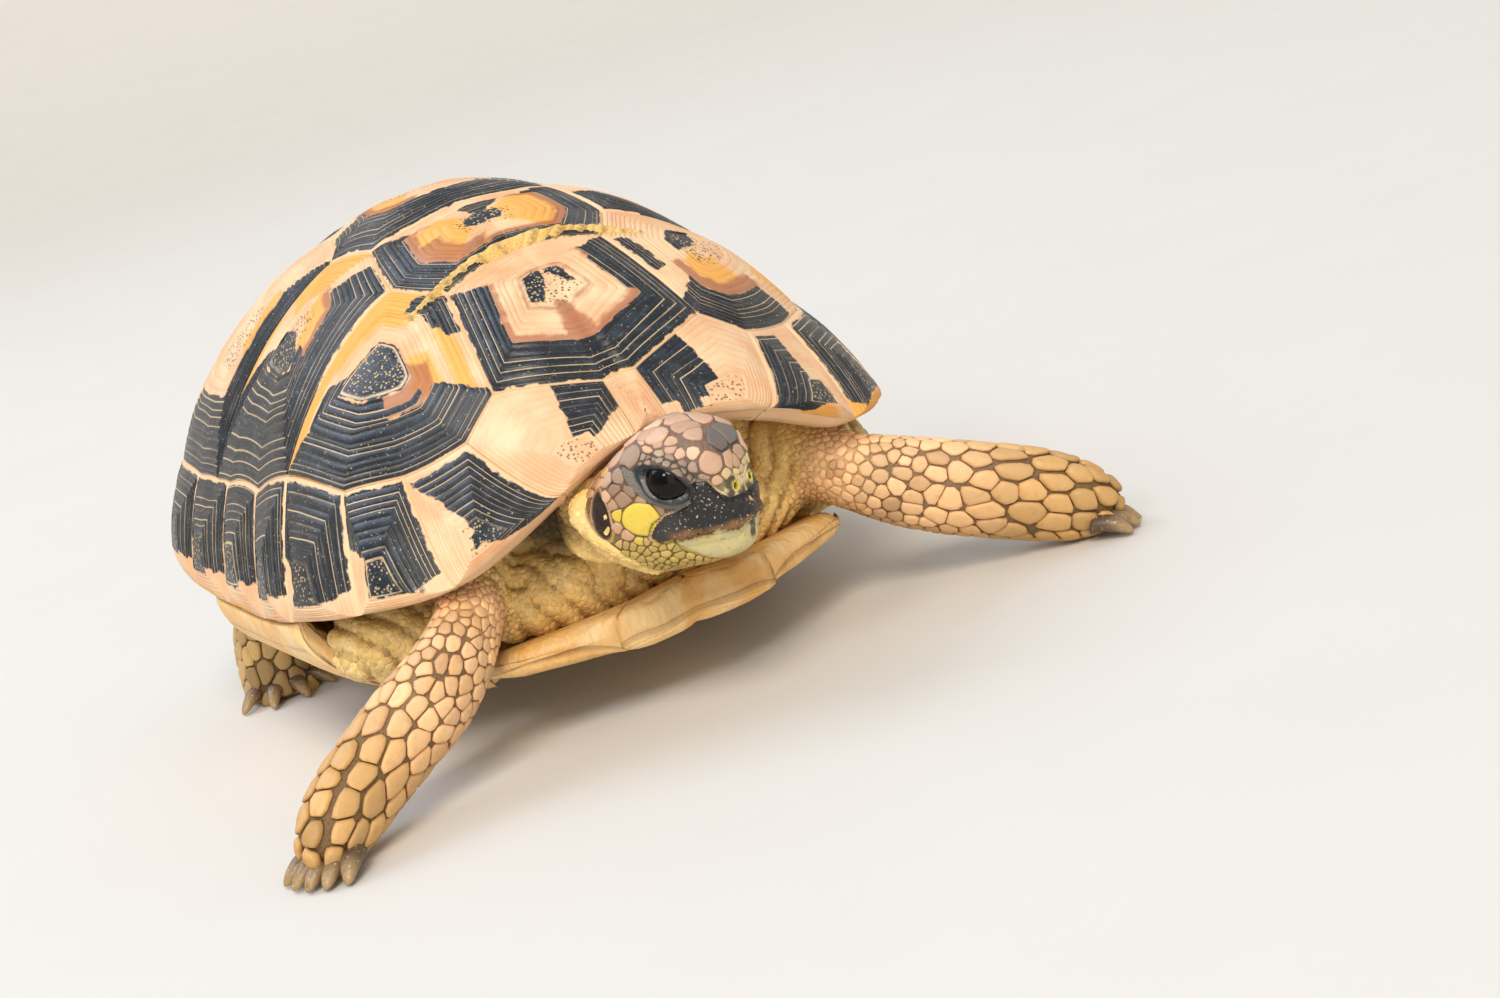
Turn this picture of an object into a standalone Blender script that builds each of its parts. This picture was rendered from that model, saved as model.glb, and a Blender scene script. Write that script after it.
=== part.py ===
"""Life-size Hermann's tortoise, standing with its head turned to its left.

The animal faces -Y, its left side is +X and +Z is up.  Every size below is in
millimetres and is turned into metres where a mesh is made.  Heights are first
measured from the underside of the plastron; the whole model is then stood on
its soles, with the origin at the bottom centre of its box.
"""
import math

import bmesh
import bpy
from mathutils import Vector

MM = 0.001
GAP = 0.3                    # clear space between touching pieces
SOLE = -13.0                 # height of the floor under the plastron

# ---- carapace -------------------------------------------------------------
CROWN_Y = 5.0                # the highest point lies a little behind the middle
CROWN_Z = 84.5
PLATE = 4.5                  # thickness of bone and horn
SCUTE_LIFT = 1.3             # how far a scute's middle stands over its seams
# Where two marginal scutes meet on the free edge, front to rear: x, y, z.
EDGE = [(0.0, -76.5, 40.0), (3.5, -77.3, 40.0), (21.0, -80.0, 35.5), (42.5, -70.0, 25.0),
        (56.5, -54.5, 23.0), (62.8, -29.0, 20.5), (63.2, -9.0, 18.5), (64.0, 13.0, 19.0),
        (65.0, 33.0, 21.0), (63.0, 51.0, 24.0), (54.0, 66.0, 26.0), (38.0, 76.5, 25.0),
        (19.0, 81.0, 20.0), (0.0, 82.0, 17.0)]
# How full the dome is, seen in section, at the front, side and rear.
FULL_FRONT, FULL_SIDE, FULL_REAR = 1.07, 1.60, 1.26
# Seam corners as (bearing from the front in degrees, way from crown to edge).
INNER = [(2.5, 0.71), (23.8, 0.64), (34.0, 0.65), (44.8, 0.665), (61.3, 0.645), (77.0, 0.69),
         (94.0, 0.70), (111.0, 0.70), (125.0, 0.70), (139.0, 0.70), (152.0, 0.69),
         (166.0, 0.68), (180.0, 0.69)]
V1_FLANK = (18.1, 0.59)
V12, V2_WIDE, V23 = (20.6, 0.365), (35.1, 0.313), (49.5, 0.216)
V3_WIDE, V34, V4_WIDE, V45 = (83.0, 0.25), (123.7, 0.185), (140.0, 0.262), (161.6, 0.348)
C23_FOOT, C34_FOOT, C4_FOOT = (101.0, 0.70), (131.0, 0.70), (155.5, 0.69)

# ---- plastron -------------------------------------------------------------
PLASTRON_FLAT = 40.0         # half width of the flat part
WING = 26.0                  # girth of the bridge that rises to the marginals
PLASTRON_THICK = 5.0
LIP_THICK = 9.5              # the gular lip is thicker
LIP_BACK, LIP_FRONT = -52.0, -68.0
LOBE_BACK, LOBE_RISE = -40.0, 3.0   # the front lobe turns up at its sides,
LOBE_MIDDLE = 10.0                  # but is flat near the midline
# Half outlines of the six bands, as (girth from the midline, y).
BANDS = {
    "gular": [(0, -70.2), (8, -72.2), (17, -70.6), (0, -56)],
    "humeral": [(0, -56), (17, -70.6), (28, -67), (37.5, -61.5), (40, -54), (39.5, -38), (0, -33)],
    "pectoral": [(0, -33), (39.5, -38), (48, -35), (66, -27), (66, -12), (40, -17), (0, -25)],
    "abdominal": [(0, -25), (40, -17), (66, -12), (66, 25), (50, 31), (39.5, 30), (0, 20)],
    "femoral": [(0, 20), (39.5, 30), (37.5, 37), (32.5, 46), (0, 44)],
    "anal": [(0, 44), (32.5, 46), (28, 57), (22, 65), (13, 69), (0, 62)],
}

# ---- flesh ----------------------------------------------------------------
TRUNK_INSET = 8.0            # from the outer shell to the flesh under it
TRUNK_FRONT, TRUNK_REAR, TRUNK_FLOOR = -61.0, 60.0, 10.4
# Limb paths: x, y, z, breadth, thickness.  x is measured outwards.
FORELEG_RIGHT = [(29, -44, 22, 17, 15), (35, -54, 19, 16, 13.5), (42, -63, 14, 17, 13),
                 (50.5, -66.5, 8.2, 19, 14), (59.5, -66.5, 3.2, 19, 14.5), (69, -69, -1.2, 18.5, 14.5),
                 (77.0, -72.5, -5.0, 16.5, 14), (82.0, -75.5, -7.8, 12.5, 11)]
FORELEG_LEFT = [(29, -44, 22, 17, 15), (35.5, -53.5, 18.5, 16, 13.5), (42, -61.5, 13.5, 16.5, 13),
                (50.5, -66, 8.2, 19.5, 14), (60.5, -71, 3.2, 20.5, 14.5), (70.0, -75.5, -1.2, 20, 14.5),
                (77.5, -79.5, -5.0, 17.5, 14), (82.0, -82, -7.8, 12.5, 11)]
HINDLEG = [(28, 42, 20, 22, 20), (36, 47, 15, 22, 19), (43, 51.5, 8.5, 21, 18.5),
           (48, 54, 1, 19.5, 18), (50, 54.5, -6, 18.5, 17.5), (50.5, 54, -13, 19, 18)]
FORE_WRIST, HIND_ANKLE = 5.0, 3.5        # where leg and foot part, in path points
NECK = [(-4.5, -60, 25.2, 23, 24), (-7, -64.5, 25.8, 21, 22), (-10, -69.5, 26.6, 19.5, 20.5),
        (-12.6, -74, 27.5, 18.5, 19.5)]
TAIL = [(0, 60, 16, 17, 14), (0.6, 67, 12, 14, 12), (2, 74, 7, 10.5, 9), (4.5, 80, 2.5, 7, 6.5),
        (7.5, 84, 0, 3.6, 3.4), (9.5, 86, -1, 1.2, 1.2)]

# ---- head -----------------------------------------------------------------
SNOUT = (4.5, -100.4, 22.5)  # foot of the snout on the mouth line
HEAD_YAW = 32.0              # turned to the animal's left
HEAD_PITCH = -5.0            # and a little nose-down
# Behind the snout, half width, crown, keel of jaw, height of the broadest part.
HEAD = [(0.0, 3.2, 8.4, -0.4, 4.2), (0.9, 4.8, 10.6, -2.8, 4.0), (3.0, 6.2, 13.0, -4.2, 3.9),
        (6.5, 7.4, 16.2, -5.4, 4.5), (10.5, 8.8, 18.8, -6.6, 6.0), (15.0, 10.1, 19.4, -7.6, 7.5),
        (20.0, 11.0, 17.4, -8.2, 6.4), (25.5, 11.4, 13.8, -8.0, 4.6), (29.5, 10.6, 11.0, -7.0, 3.4),
        (32.0, 9.2, 9.0, -5.6, 2.8)]
JAW_LENGTH = 19.0
EYE_RADIUS = 4.8
EYE_PLACE = (11.9, 6.1, 10.2)            # behind the snout, off the midline, up

# name: colour (linear RGB), roughness
MATERIALS = {
    "scute_horn": ((0.42, 0.30, 0.15), 0.35),
    "plastron_horn": ((0.56, 0.38, 0.14), 0.40),
    "scaled_skin": ((0.36, 0.27, 0.15), 0.60),
    "cornea": ((0.01, 0.01, 0.01), 0.08),
}


def track(rows, s):
    """Smooth curve through rows of (parameter, value, value...), read at s."""
    last = len(rows) - 1
    k = 0
    while k < last - 1 and rows[k + 1][0] < s:
        k += 1
    a, b = rows[k], rows[k + 1]
    before, after = rows[max(k - 1, 0)], rows[min(k + 2, last)]
    span = b[0] - a[0]
    u = (s - a[0]) / span
    values = []
    for c in range(1, len(a)):
        slope_a = (b[c] - before[c]) / (b[0] - before[0]) * span
        slope_b = (after[c] - a[c]) / (after[0] - a[0]) * span
        values.append((2 * u**3 - 3 * u**2 + 1) * a[c] + (u**3 - 2 * u**2 + u) * slope_a
                      + (3 * u**2 - 2 * u**3) * b[c] + (u**3 - u**2) * slope_b)
    return values


def edge_rows():
    """The free edge keyed by bearing, run a little past the midline at both ends."""
    half = [(math.atan2(x, CROWN_Y - y), x, y, z) for x, y, z in EDGE]
    front = [(-a, -x, y, z) for a, x, y, z in half[2:0:-1]]
    rear = [(2 * math.pi - a, -x, y, z) for a, x, y, z in half[-2:-4:-1]]
    return front + half + rear


EDGE_ROWS = edge_rows()


def edge_point(bearing):
    """Point of the shell's free edge at a bearing from the front, in radians."""
    x, y, z = track(EDGE_ROWS, abs(bearing))
    return math.copysign(1.0, bearing) * x, y, z


def dome(u, v):
    """Carapace surface over a unit disk: (0, -1) is the front, (0, 0) the crown."""
    way = min(math.hypot(u, v), 1.0)
    bearing = math.atan2(u, -v)
    x, y, z = edge_point(bearing)
    out = math.sin(way * math.pi / 2)
    up = max(math.cos(way * math.pi / 2), 0.0)
    ahead = math.cos(bearing)
    if ahead > 0:
        full = FULL_SIDE - (FULL_SIDE - FULL_FRONT) * ahead**1.3
    else:
        full = FULL_SIDE - (FULL_SIDE - FULL_REAR) * ahead**2
    return Vector((x * out, CROWN_Y + (y - CROWN_Y) * out, z + (CROWN_Z - z) * up ** (2 / full)))


def edge_at(y):
    """Half width and height of the free edge beside a given y, along the flank."""
    low, high = math.radians(45), math.radians(130)
    for _ in range(30):
        mid = (low + high) / 2
        if edge_point(mid)[1] < y:
            low = mid
        else:
            high = mid
    x, _, z = edge_point(low)
    return x, z


def belly(a, y):
    """Underside of the plastron and bridge; a is the girth from the midline."""
    if abs(a) <= PLASTRON_FLAT:
        forward = min(max((LOBE_BACK - y) / (LOBE_BACK - LIP_FRONT), 0), 1)
        aside = max(abs(a) - LOBE_MIDDLE, 0) / (PLASTRON_FLAT - LOBE_MIDDLE)
        return Vector((a, y, LOBE_RISE * aside * forward))
    wide, high = edge_at(y)
    turn = min((abs(a) - PLASTRON_FLAT) / WING, 1.0) * math.pi / 2
    x = PLASTRON_FLAT + (wide - PLASTRON_FLAT) * math.sin(turn)
    return Vector((math.copysign(x, a), y, (high - GAP) * (1 - math.cos(turn))))


def facing(surface, p, q, outward, limit=1e9):
    """Unit normal of a surface, turned to the side that outward points to."""
    step = 0.004 if surface is dome else 0.3
    back = step if math.hypot(p, q) + step > limit else 0.0
    if back:
        reach = math.hypot(p, q)
        p, q = p * (1 - 1.5 * step / reach), q * (1 - 1.5 * step / reach)
    along = surface(p + step, q) - surface(p - step, q)
    across = surface(p, q + step) - surface(p, q - step)
    normal = along.cross(across).normalized()
    return normal if normal.dot(outward(p, q)) > 0 else -normal


def dome_normal(u, v):
    """Outward normal of the carapace."""
    return facing(dome, u, v, lambda p, q: dome(p, q) - Vector((0, CROWN_Y, 10)), 1.0)


def belly_normal(a, y):
    """Outward normal of the plastron."""
    return facing(belly, a, y, lambda p, q: Vector((p * 0.5, 0, -20)))


def on_disk(corner, side=1):
    """Disk coordinates of a seam corner given as (bearing in degrees, way)."""
    bearing = math.radians(corner[0]) * side
    return (corner[1] * math.sin(bearing), -corner[1] * math.cos(bearing))


def new_object(name, bm, material, smooth=False):
    """Turn a bmesh in millimetres into an object in metres."""
    bmesh.ops.recalc_face_normals(bm, faces=bm.faces)
    for vert in bm.verts:
        vert.co *= MM
    mesh = bpy.data.meshes.new(name)
    bm.to_mesh(mesh)
    bm.free()
    if smooth:
        mesh.shade_smooth()
    mesh.materials.append(bpy.data.materials[material])
    body = bpy.data.objects.new(name, mesh)
    bpy.context.scene.collection.objects.link(body)
    return body


def spoke_ends(corners, surface, spacing):
    """Points along a scute's outline, each side cut into equal steps."""
    ends = []
    for k, (p0, q0) in enumerate(corners):
        p1, q1 = corners[(k + 1) % len(corners)]
        on_rim = surface is dome and min(math.hypot(p0, q0), math.hypot(p1, q1)) > 0.999
        length = (surface(p1, q1) - surface(p0, q0)).length
        steps = max(1, round(length / spacing))
        for i in range(steps):
            f = i / steps
            p, q = p0 + (p1 - p0) * f, q0 + (q1 - q0) * f
            if on_rim:
                reach = math.hypot(p, q)
                p, q = p / reach, q / reach
            ends.append((p, q))
    return ends


def area_centre(corners):
    """Centre of area of a flat polygon."""
    total = cp = cq = 0.0
    for (p0, q0), (p1, q1) in zip(corners, corners[1:] + corners[:1]):
        cross = p0 * q1 - p1 * q0
        total += cross
        cp += (p0 + p1) * cross / 3
        cq += (q0 + q1) * cross / 3
    return cp / total, cq / total


def seam_insets(ends, surface, normal_at, centre):
    """For each outline point, the step into the plate that leaves half the seam's gap."""
    places = [surface(p, q) for p, q in ends]
    insets = []
    for k, (p, q) in enumerate(ends):
        normal = normal_at(p, q)
        sides = [places[k] - places[k - 1], places[(k + 1) % len(ends)] - places[k]]
        inward = [normal.cross(side).normalized() for side in sides]
        if sum(inward, Vector()).dot(centre - places[k]) < 0:
            inward = [-step for step in inward]
        miter = (inward[0] + inward[1]) / max(1 + inward[0].dot(inward[1]), 0.4)
        insets.append(miter * GAP * 0.55)
    return insets


def scute(name, corners, surface, normal_at, thickness, material, spacing, rings):
    """One plate of the shell: a slab that follows the surface inside its seams."""
    ends = spoke_ends(corners, surface, spacing)
    cp, cq = area_centre(corners)
    centre = surface(cp, cq)
    insets = seam_insets(ends, surface, normal_at, centre)
    bm = bmesh.new()
    lift = SCUTE_LIFT if surface is dome else 0.0

    def ring_at(r, inner):
        """Vertices of one ring of the slab's outer or inner face."""
        row = []
        for (p, q), inset in zip(ends, insets):
            pp, qq = cp + (p - cp) * r, cq + (q - cq) * r
            rise = -thickness(pp, qq) if inner else lift * (1 - r**2)
            place = surface(pp, qq) + normal_at(pp, qq) * rise
            row.append(bm.verts.new(place + inset if r == 1 else place))
        return row

    outer = [ring_at(1 - k / rings, False) for k in range(rings)]
    inner = [ring_at(1 - k / 2, True) for k in range(rings - 1)]
    top = bm.verts.new(centre + normal_at(cp, cq) * lift)
    low = bm.verts.new(centre - normal_at(cp, cq) * thickness(cp, cq))
    count = len(ends)
    for k in range(count):
        n = (k + 1) % count
        bm.faces.new((outer[0][k], outer[0][n], inner[0][n], inner[0][k]))
        for a, b in [*zip(outer, outer[1:]), *zip(inner, inner[1:])]:
            bm.faces.new((a[k], a[n], b[n], b[k]))
        bm.faces.new((outer[-1][k], outer[-1][n], top))
        bm.faces.new((inner[-1][k], inner[-1][n], low))
    return new_object(name, bm, material)


def carapace():
    """Nuchal, vertebrals, costals, marginals and the divided supracaudal."""
    def both(*corners):
        """A polygon that is closed by its own mirror image across the midline."""
        return ([on_disk(c) for c in corners] + [on_disk(c, -1) for c in reversed(corners)])

    def plate(name, corners, spacing=9.5, rings=3):
        scute(name, corners, dome, dome_normal, lambda p, q: PLATE, "scute_horn", spacing, rings)

    rims = [(math.degrees(row[0]), 1.0) for row in EDGE_ROWS[2:2 + len(EDGE)]]
    plate("nuchal", both(rims[1], INNER[0]), rings=2)
    plate("vertebral_1", both(INNER[0], V1_FLANK, V12))
    plate("vertebral_2", both(V12, V2_WIDE, V23))
    plate("vertebral_3", both(V23, V3_WIDE, V34))
    plate("vertebral_4", both(V34, V4_WIDE, V45))
    plate("vertebral_5", both(V45, C4_FOOT, INNER[11]))
    costals = [(V1_FLANK, *INNER[1:5], V2_WIDE, V12),
               (*INNER[4:7], C23_FOOT, V3_WIDE, V23, V2_WIDE),
               (C23_FOOT, *INNER[7:9], C34_FOOT, V4_WIDE, V34, V3_WIDE),
               (C34_FOOT, *INNER[9:11], C4_FOOT, V45, V4_WIDE)]
    shared = {1: [V1_FLANK], 7: [C23_FOOT], 9: [C34_FOOT], 11: [C4_FOOT]}
    for side, word in ((1, "left"), (-1, "right")):
        for number, corners in enumerate(costals, 1):
            plate(f"costal_{word}_{number}", [on_disk(c, side) for c in corners])
        for number in range(1, 12):
            inner = [INNER[number - 1], *shared.get(number, []), INNER[number]]
            corners = [rims[number], rims[number + 1], *reversed(inner)]
            plate(f"marginal_{word}_{number}", [on_disk(c, side) for c in corners], 8.0, 2)
        corners = [rims[12], rims[13], INNER[12], INNER[11]]
        plate(f"supracaudal_{word}", [on_disk(c, side) for c in corners], 8.0, 2)


def plastron():
    """Six bands of the plastron, each with its share of the bridge."""
    def thickness(a, y):
        lip = min(max((LIP_BACK - y) / (LIP_BACK - LIP_FRONT), 0), 1)
        return PLASTRON_THICK + (LIP_THICK - PLASTRON_THICK) * lip**2 * (3 - 2 * lip) * (
            1 - min(abs(a) / 50, 1)) - (1.0 if abs(a) > PLASTRON_FLAT else 0.0)

    for word, half in BANDS.items():
        other = [(-a, y) for a, y in reversed(half) if a > 0]
        scute(f"plastron_{word}", half + other, belly, belly_normal, thickness,
              "plastron_horn", 12.0, 3 if word in ("pectoral", "abdominal") else 2)


def keep_inside(bm, point, normal):
    """Cut away what lies beyond a plane and close the cut with a flat face."""
    geometry = bm.verts[:] + bm.edges[:] + bm.faces[:]
    cut = bmesh.ops.bisect_plane(bm, geom=geometry, plane_co=point, plane_no=normal,
                                 clear_outer=True, dist=1e-5)
    rim = [item for item in cut["geom_cut"] if isinstance(item, bmesh.types.BMEdge)]
    bmesh.ops.contextual_create(bm, geom=rim)


def trunk():
    """The body inside the shell, with a flat socket for the neck, limbs and tail."""
    bm = bmesh.new()
    for k in range(9):
        way = 0.8 * k / 8
        for j in range(16):
            u, v = on_disk((j * 22.5 - 180, max(way, 0.02)))
            bm.verts.new(dome(u, v) - dome_normal(u, v) * TRUNK_INSET)
    for x in (-34, 34):
        for y in (-60, 50):
            bm.verts.new((x, y, TRUNK_FLOOR))
    hull = bmesh.ops.convex_hull(bm, input=bm.verts)
    inside = {item for item in hull["geom_interior"] if isinstance(item, bmesh.types.BMVert)}
    bmesh.ops.delete(bm, geom=list(inside), context="VERTS")
    keep_inside(bm, (0, TRUNK_FRONT, 0), (0, -1, 0))
    keep_inside(bm, (0, TRUNK_REAR, 0), (0, 1, 0))
    for side, path in ((-1, FORELEG_RIGHT), (1, FORELEG_LEFT), (-1, HINDLEG), (1, HINDLEG),
                       (1, NECK), (1, TAIL)):
        root, toward = [Vector((side * row[0], row[1], row[2])) for row in path[:2]]
        keep_inside(bm, root, toward - root)
    new_object("trunk", bm, "scaled_skin")


def ring(centre, tangent, breadth, thick, upright, count, square=2.3):
    """Points of a rounded cross-section; breadth lies along upright."""
    tall = (upright - tangent * upright.dot(tangent)).normalized()
    side = tangent.cross(tall)
    points = []
    for k in range(count):
        angle = 2 * math.pi * k / count
        c, s = math.cos(angle), math.sin(angle)
        reach = (abs(c) ** square + abs(s) ** square) ** (-1 / square)
        points.append(centre + tall * (c * reach * breadth / 2) + side * (s * reach * thick / 2))
    return points


def tube_rings(path, start, stop, upright, count, steps, side=1):
    """Cross-sections along a path between two of its point numbers."""
    rows = [(k, side * row[0], *row[1:]) for k, row in enumerate(path)]
    rings = []
    for k in range(steps + 1):
        s = start + (stop - start) * k / steps
        x, y, z, breadth, thick = track(rows, s)
        ahead = Vector(track(rows, min(s + 0.05, len(path) - 1))[:3])
        behind = Vector(track(rows, max(s - 0.05, 0))[:3])
        rings.append(ring(Vector((x, y, z)), (ahead - behind).normalized(), breadth, thick,
                          upright, count))
    return rings


def skin_rings(rings, tip=None):
    """Closed bmesh over a row of cross-sections, ending in a tip or a flat face."""
    bm = bmesh.new()
    loops = [[bm.verts.new((p.x, p.y, max(p.z, SOLE))) for p in points] for points in rings]
    count = len(loops[0])
    for a, b in zip(loops, loops[1:]):
        for k in range(count):
            n = (k + 1) % count
            bm.faces.new((a[k], a[n], b[n], b[k]))
    bm.faces.new(loops[0])
    if tip is None:
        bm.faces.new(loops[-1])
    else:
        end = bm.verts.new(tip)
        for k in range(count):
            bm.faces.new((loops[-1][k], loops[-1][(k + 1) % count], end))
    return bm


def claw(name, root, tip, width):
    """A blunt tapering claw, sunk into the toe at its root."""
    axis = (tip - root).normalized()
    rings = []
    for f, size in ((0.0, 1.0), (0.5, 0.86), (0.8, 0.6), (1.0, 0.25)):
        centre = root.lerp(tip, f) + Vector((0, 0, 0.9 * math.sin(f * math.pi)))
        rings.append(ring(centre, axis, width * size * 0.8, width * size, Vector((0, 0, 1)), 6, 2.0))
    return new_object(name, skin_rings(rings), "scaled_skin")


def add_claws(foot, claws):
    """Join claws to a foot as one solid."""
    for tool in claws:
        join = foot.modifiers.new("claw", "BOOLEAN")
        join.operation = "UNION"
        join.object = tool
        tool.hide_render = True
        tool.display_type = "WIRE"


def shift_start(path, s):
    """Path number just past s by the gap between two pieces."""
    a, b = Vector(path[int(s)][:3]), Vector(path[int(s) + 1][:3])
    return s + GAP / (b - a).length


def foreleg(word, side, path):
    """Upper arm and forearm, then the foot with its five claws."""
    upright = Vector((0, -0.35, 1))
    start = shift_start(path, 0)
    arm = tube_rings(path, start, FORE_WRIST, upright, 12, 12, side)
    new_object(f"foreleg_{word}", skin_rings(arm), "scaled_skin", smooth=True)
    hand = tube_rings(path, shift_start(path, FORE_WRIST), len(path) - 1, upright, 12, 5, side)
    x, y, z = path[-1][:3]
    before = path[-2]
    ahead = Vector((side * (x - before[0]), y - before[1], 0)).normalized()
    palm = Vector((side * x, y, 0))
    across = Vector((-ahead.y, ahead.x, 0))
    foot = new_object(f"forefoot_{word}", skin_rings(hand, palm + ahead * 3.0 + Vector((0, 0, z))),
                      "scaled_skin", smooth=True)
    claws = []
    for k in range(5):
        swing = (k - 2) / 2
        root = palm + ahead * (-1.5 - 1.2 * abs(swing)) + across * (swing * 4.6)
        tip = palm + ahead * (6.8 - 2.4 * swing**2) + across * (swing * 7.6)
        claws.append(claw(f"claw_{word}_{k}", root + Vector((0, 0, -9.6)),
                          tip + Vector((0, 0, SOLE + 0.9)), 4.4))
    add_claws(foot, claws)


def hindleg(word, side):
    """Thigh and shank, then the round foot with its four claws."""
    upright = Vector((0, 1, 0.2))
    leg = tube_rings(HINDLEG, shift_start(HINDLEG, 0), HIND_ANKLE, upright, 12, 8, side)
    new_object(f"hindleg_{word}", skin_rings(leg), "scaled_skin", smooth=True)
    sole = tube_rings(HINDLEG, shift_start(HINDLEG, HIND_ANKLE), len(HINDLEG) - 1, upright, 12, 4,
                      side)
    foot = new_object(f"hindfoot_{word}", skin_rings(sole), "scaled_skin", smooth=True)
    x, y = HINDLEG[-1][:2]
    claws = []
    for k in range(4):
        turn = math.radians(62 - 33 * k) * side
        out = Vector((math.sin(turn), -math.cos(turn), 0))
        foot_mid = Vector((side * x, y, 0))
        claws.append(claw(f"toe_{word}_{k}", foot_mid + out * 5.5 + Vector((0, 0, -9.4)),
                          foot_mid + out * 14.0 + Vector((0, 0, SOLE + 0.7)), 4.0))
    add_claws(foot, claws)


def head_frame():
    """Unit vectors of the head: forward, its left, up."""
    yaw, pitch = math.radians(HEAD_YAW), math.radians(HEAD_PITCH)
    flat = Vector((math.sin(yaw), -math.cos(yaw), 0))
    forward = flat * math.cos(pitch) + Vector((0, 0, math.sin(pitch)))
    left = Vector((math.cos(yaw), math.sin(yaw), 0))
    return forward, left, left.cross(forward) * -1


def head_point(behind, aside, up):
    """World point of a place in the head; aside is to the animal's left."""
    forward, left, top = head_frame()
    return Vector(SNOUT) - forward * behind + left * aside + top * up


def head_whole():
    """Skull and lower jaw in one piece."""
    rings = []
    stations = [row[0] for row in HEAD]
    stations = sorted(stations + [(a + b) / 2 for a, b in zip(stations[2:], stations[3:])])
    for s in stations:
        half, crown, keel, middle = track(HEAD, s)
        points = []
        for k in range(20):
            angle = 2 * math.pi * k / 20
            c, n = math.cos(angle), math.sin(angle)
            reach = (abs(c) ** 2.35 + abs(n) ** 2.35) ** (-1 / 2.35)
            tall = (crown - middle) if n > 0 else (middle - keel)
            points.append(head_point(s, half * c * reach, middle + tall * n * reach))
        rings.append(points)
    return skin_rings(rings)


def block(corners_low, corners_high):
    """Closed block between two four-sided faces."""
    return skin_rings([corners_low, corners_high])


def head_block(near, far, low, high, wide=30.0):
    """Block in the head's frame, used to part the jaw from the skull."""
    def face(behind):
        return [head_point(behind, a, h) for a, h in ((-wide, low), (wide, low), (wide, high),
                                                      (-wide, high))]
    return block(face(near), face(far))


def carve(body, tool, operation):
    """Boolean that takes a hidden tool from a body."""
    cut = body.modifiers.new(tool.name, "BOOLEAN")
    cut.operation = operation
    cut.object = tool
    tool.hide_render = True
    tool.display_type = "WIRE"


def ball(name, centre, radius, columns, rows):
    """Sphere in millimetres."""
    bm = bmesh.new()
    bmesh.ops.create_uvsphere(bm, u_segments=columns, v_segments=rows, radius=radius)
    bmesh.ops.translate(bm, verts=bm.verts, vec=centre)
    return new_object(name, bm, "cornea", smooth=True)


def head():
    """Skull with its eye sockets, the lower jaw and the two eyes."""
    skull = new_object("head", head_whole(), "scaled_skin", smooth=True)
    jaw = new_object("lower_jaw", head_whole(), "scaled_skin", smooth=True)
    notch = new_object("jaw_notch", head_block(-20, JAW_LENGTH + GAP, -30, 0), "scaled_skin")
    room = new_object("jaw_room", head_block(-20, JAW_LENGTH, -30, -GAP), "scaled_skin")
    carve(skull, notch, "DIFFERENCE")
    carve(jaw, room, "INTERSECT")
    behind, aside, up = EYE_PLACE
    for side, word in ((1, "left"), (-1, "right")):
        centre = head_point(behind, side * aside, up)
        ball(f"eye_{word}", centre, EYE_RADIUS, 16, 10)
        carve(skull, ball(f"socket_{word}", centre, EYE_RADIUS + GAP, 16, 10), "DIFFERENCE")


def neck_and_tail():
    """Neck from the shell to the skull, and the tail with its horny tip."""
    neck = skin_rings(tube_rings(NECK, shift_start(NECK, 0), len(NECK) - 1, Vector((0, 0, 1)), 16, 5))
    keep_inside(neck, head_point(HEAD[-1][0] + GAP, 0, 0), head_frame()[0])
    new_object("neck", neck, "scaled_skin", smooth=True)
    end = len(TAIL) - 1
    tail = skin_rings(tube_rings(TAIL, shift_start(TAIL, 0), end, Vector((0, 0, 1)), 10, 12))
    new_object("tail", tail, "scaled_skin", smooth=True)


def stand_on_floor():
    """Put the origin at the bottom centre of the whole model's box."""
    bpy.context.view_layer.update()
    solids = [o for o in bpy.context.scene.objects if o.type == "MESH" and not o.hide_render]
    graph = bpy.context.evaluated_depsgraph_get()
    corners = []
    for body in solids:
        shape = body.evaluated_get(graph).to_mesh()
        corners += [body.matrix_world @ vert.co for vert in shape.vertices]
    low = Vector([min(c[i] for c in corners) for i in range(3)])
    high = Vector([max(c[i] for c in corners) for i in range(3)])
    move = Vector((-(low.x + high.x) / 2, -(low.y + high.y) / 2, -SOLE * MM))
    for body in bpy.context.scene.objects:
        body.location += move


def main():
    """Build every node of the tortoise."""
    for item in list(bpy.data.objects):
        bpy.data.objects.remove(item, do_unlink=True)
    for name, (colour, rough) in MATERIALS.items():
        material = bpy.data.materials.new(name)
        material.use_nodes = True
        shader = material.node_tree.nodes["Principled BSDF"]
        shader.inputs["Base Color"].default_value = (*colour, 1)
        shader.inputs["Roughness"].default_value = rough
        shader.inputs["Metallic"].default_value = 0.0
    carapace()
    plastron()
    trunk()
    foreleg("left", 1, FORELEG_LEFT)
    foreleg("right", -1, FORELEG_RIGHT)
    hindleg("left", 1)
    hindleg("right", -1)
    head()
    neck_and_tail()
    stand_on_floor()


main()
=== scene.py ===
"""Looks of a life-size Hermann's tortoise, made round its fixed solid model.

Shapes are worked out in millimetres in the shell's own frame: z = 0 is the underside
of the plastron, the animal faces -Y and its left side is +X.  Model.to_metres puts
them in the frame of the solid model.
"""
import logging
import math
from dataclasses import dataclass, field
from enum import Enum

import bpy
import numpy as np
from mathutils import Matrix, Vector
from mathutils.bvhtree import BVHTree
from mathutils.kdtree import KDTree


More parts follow.
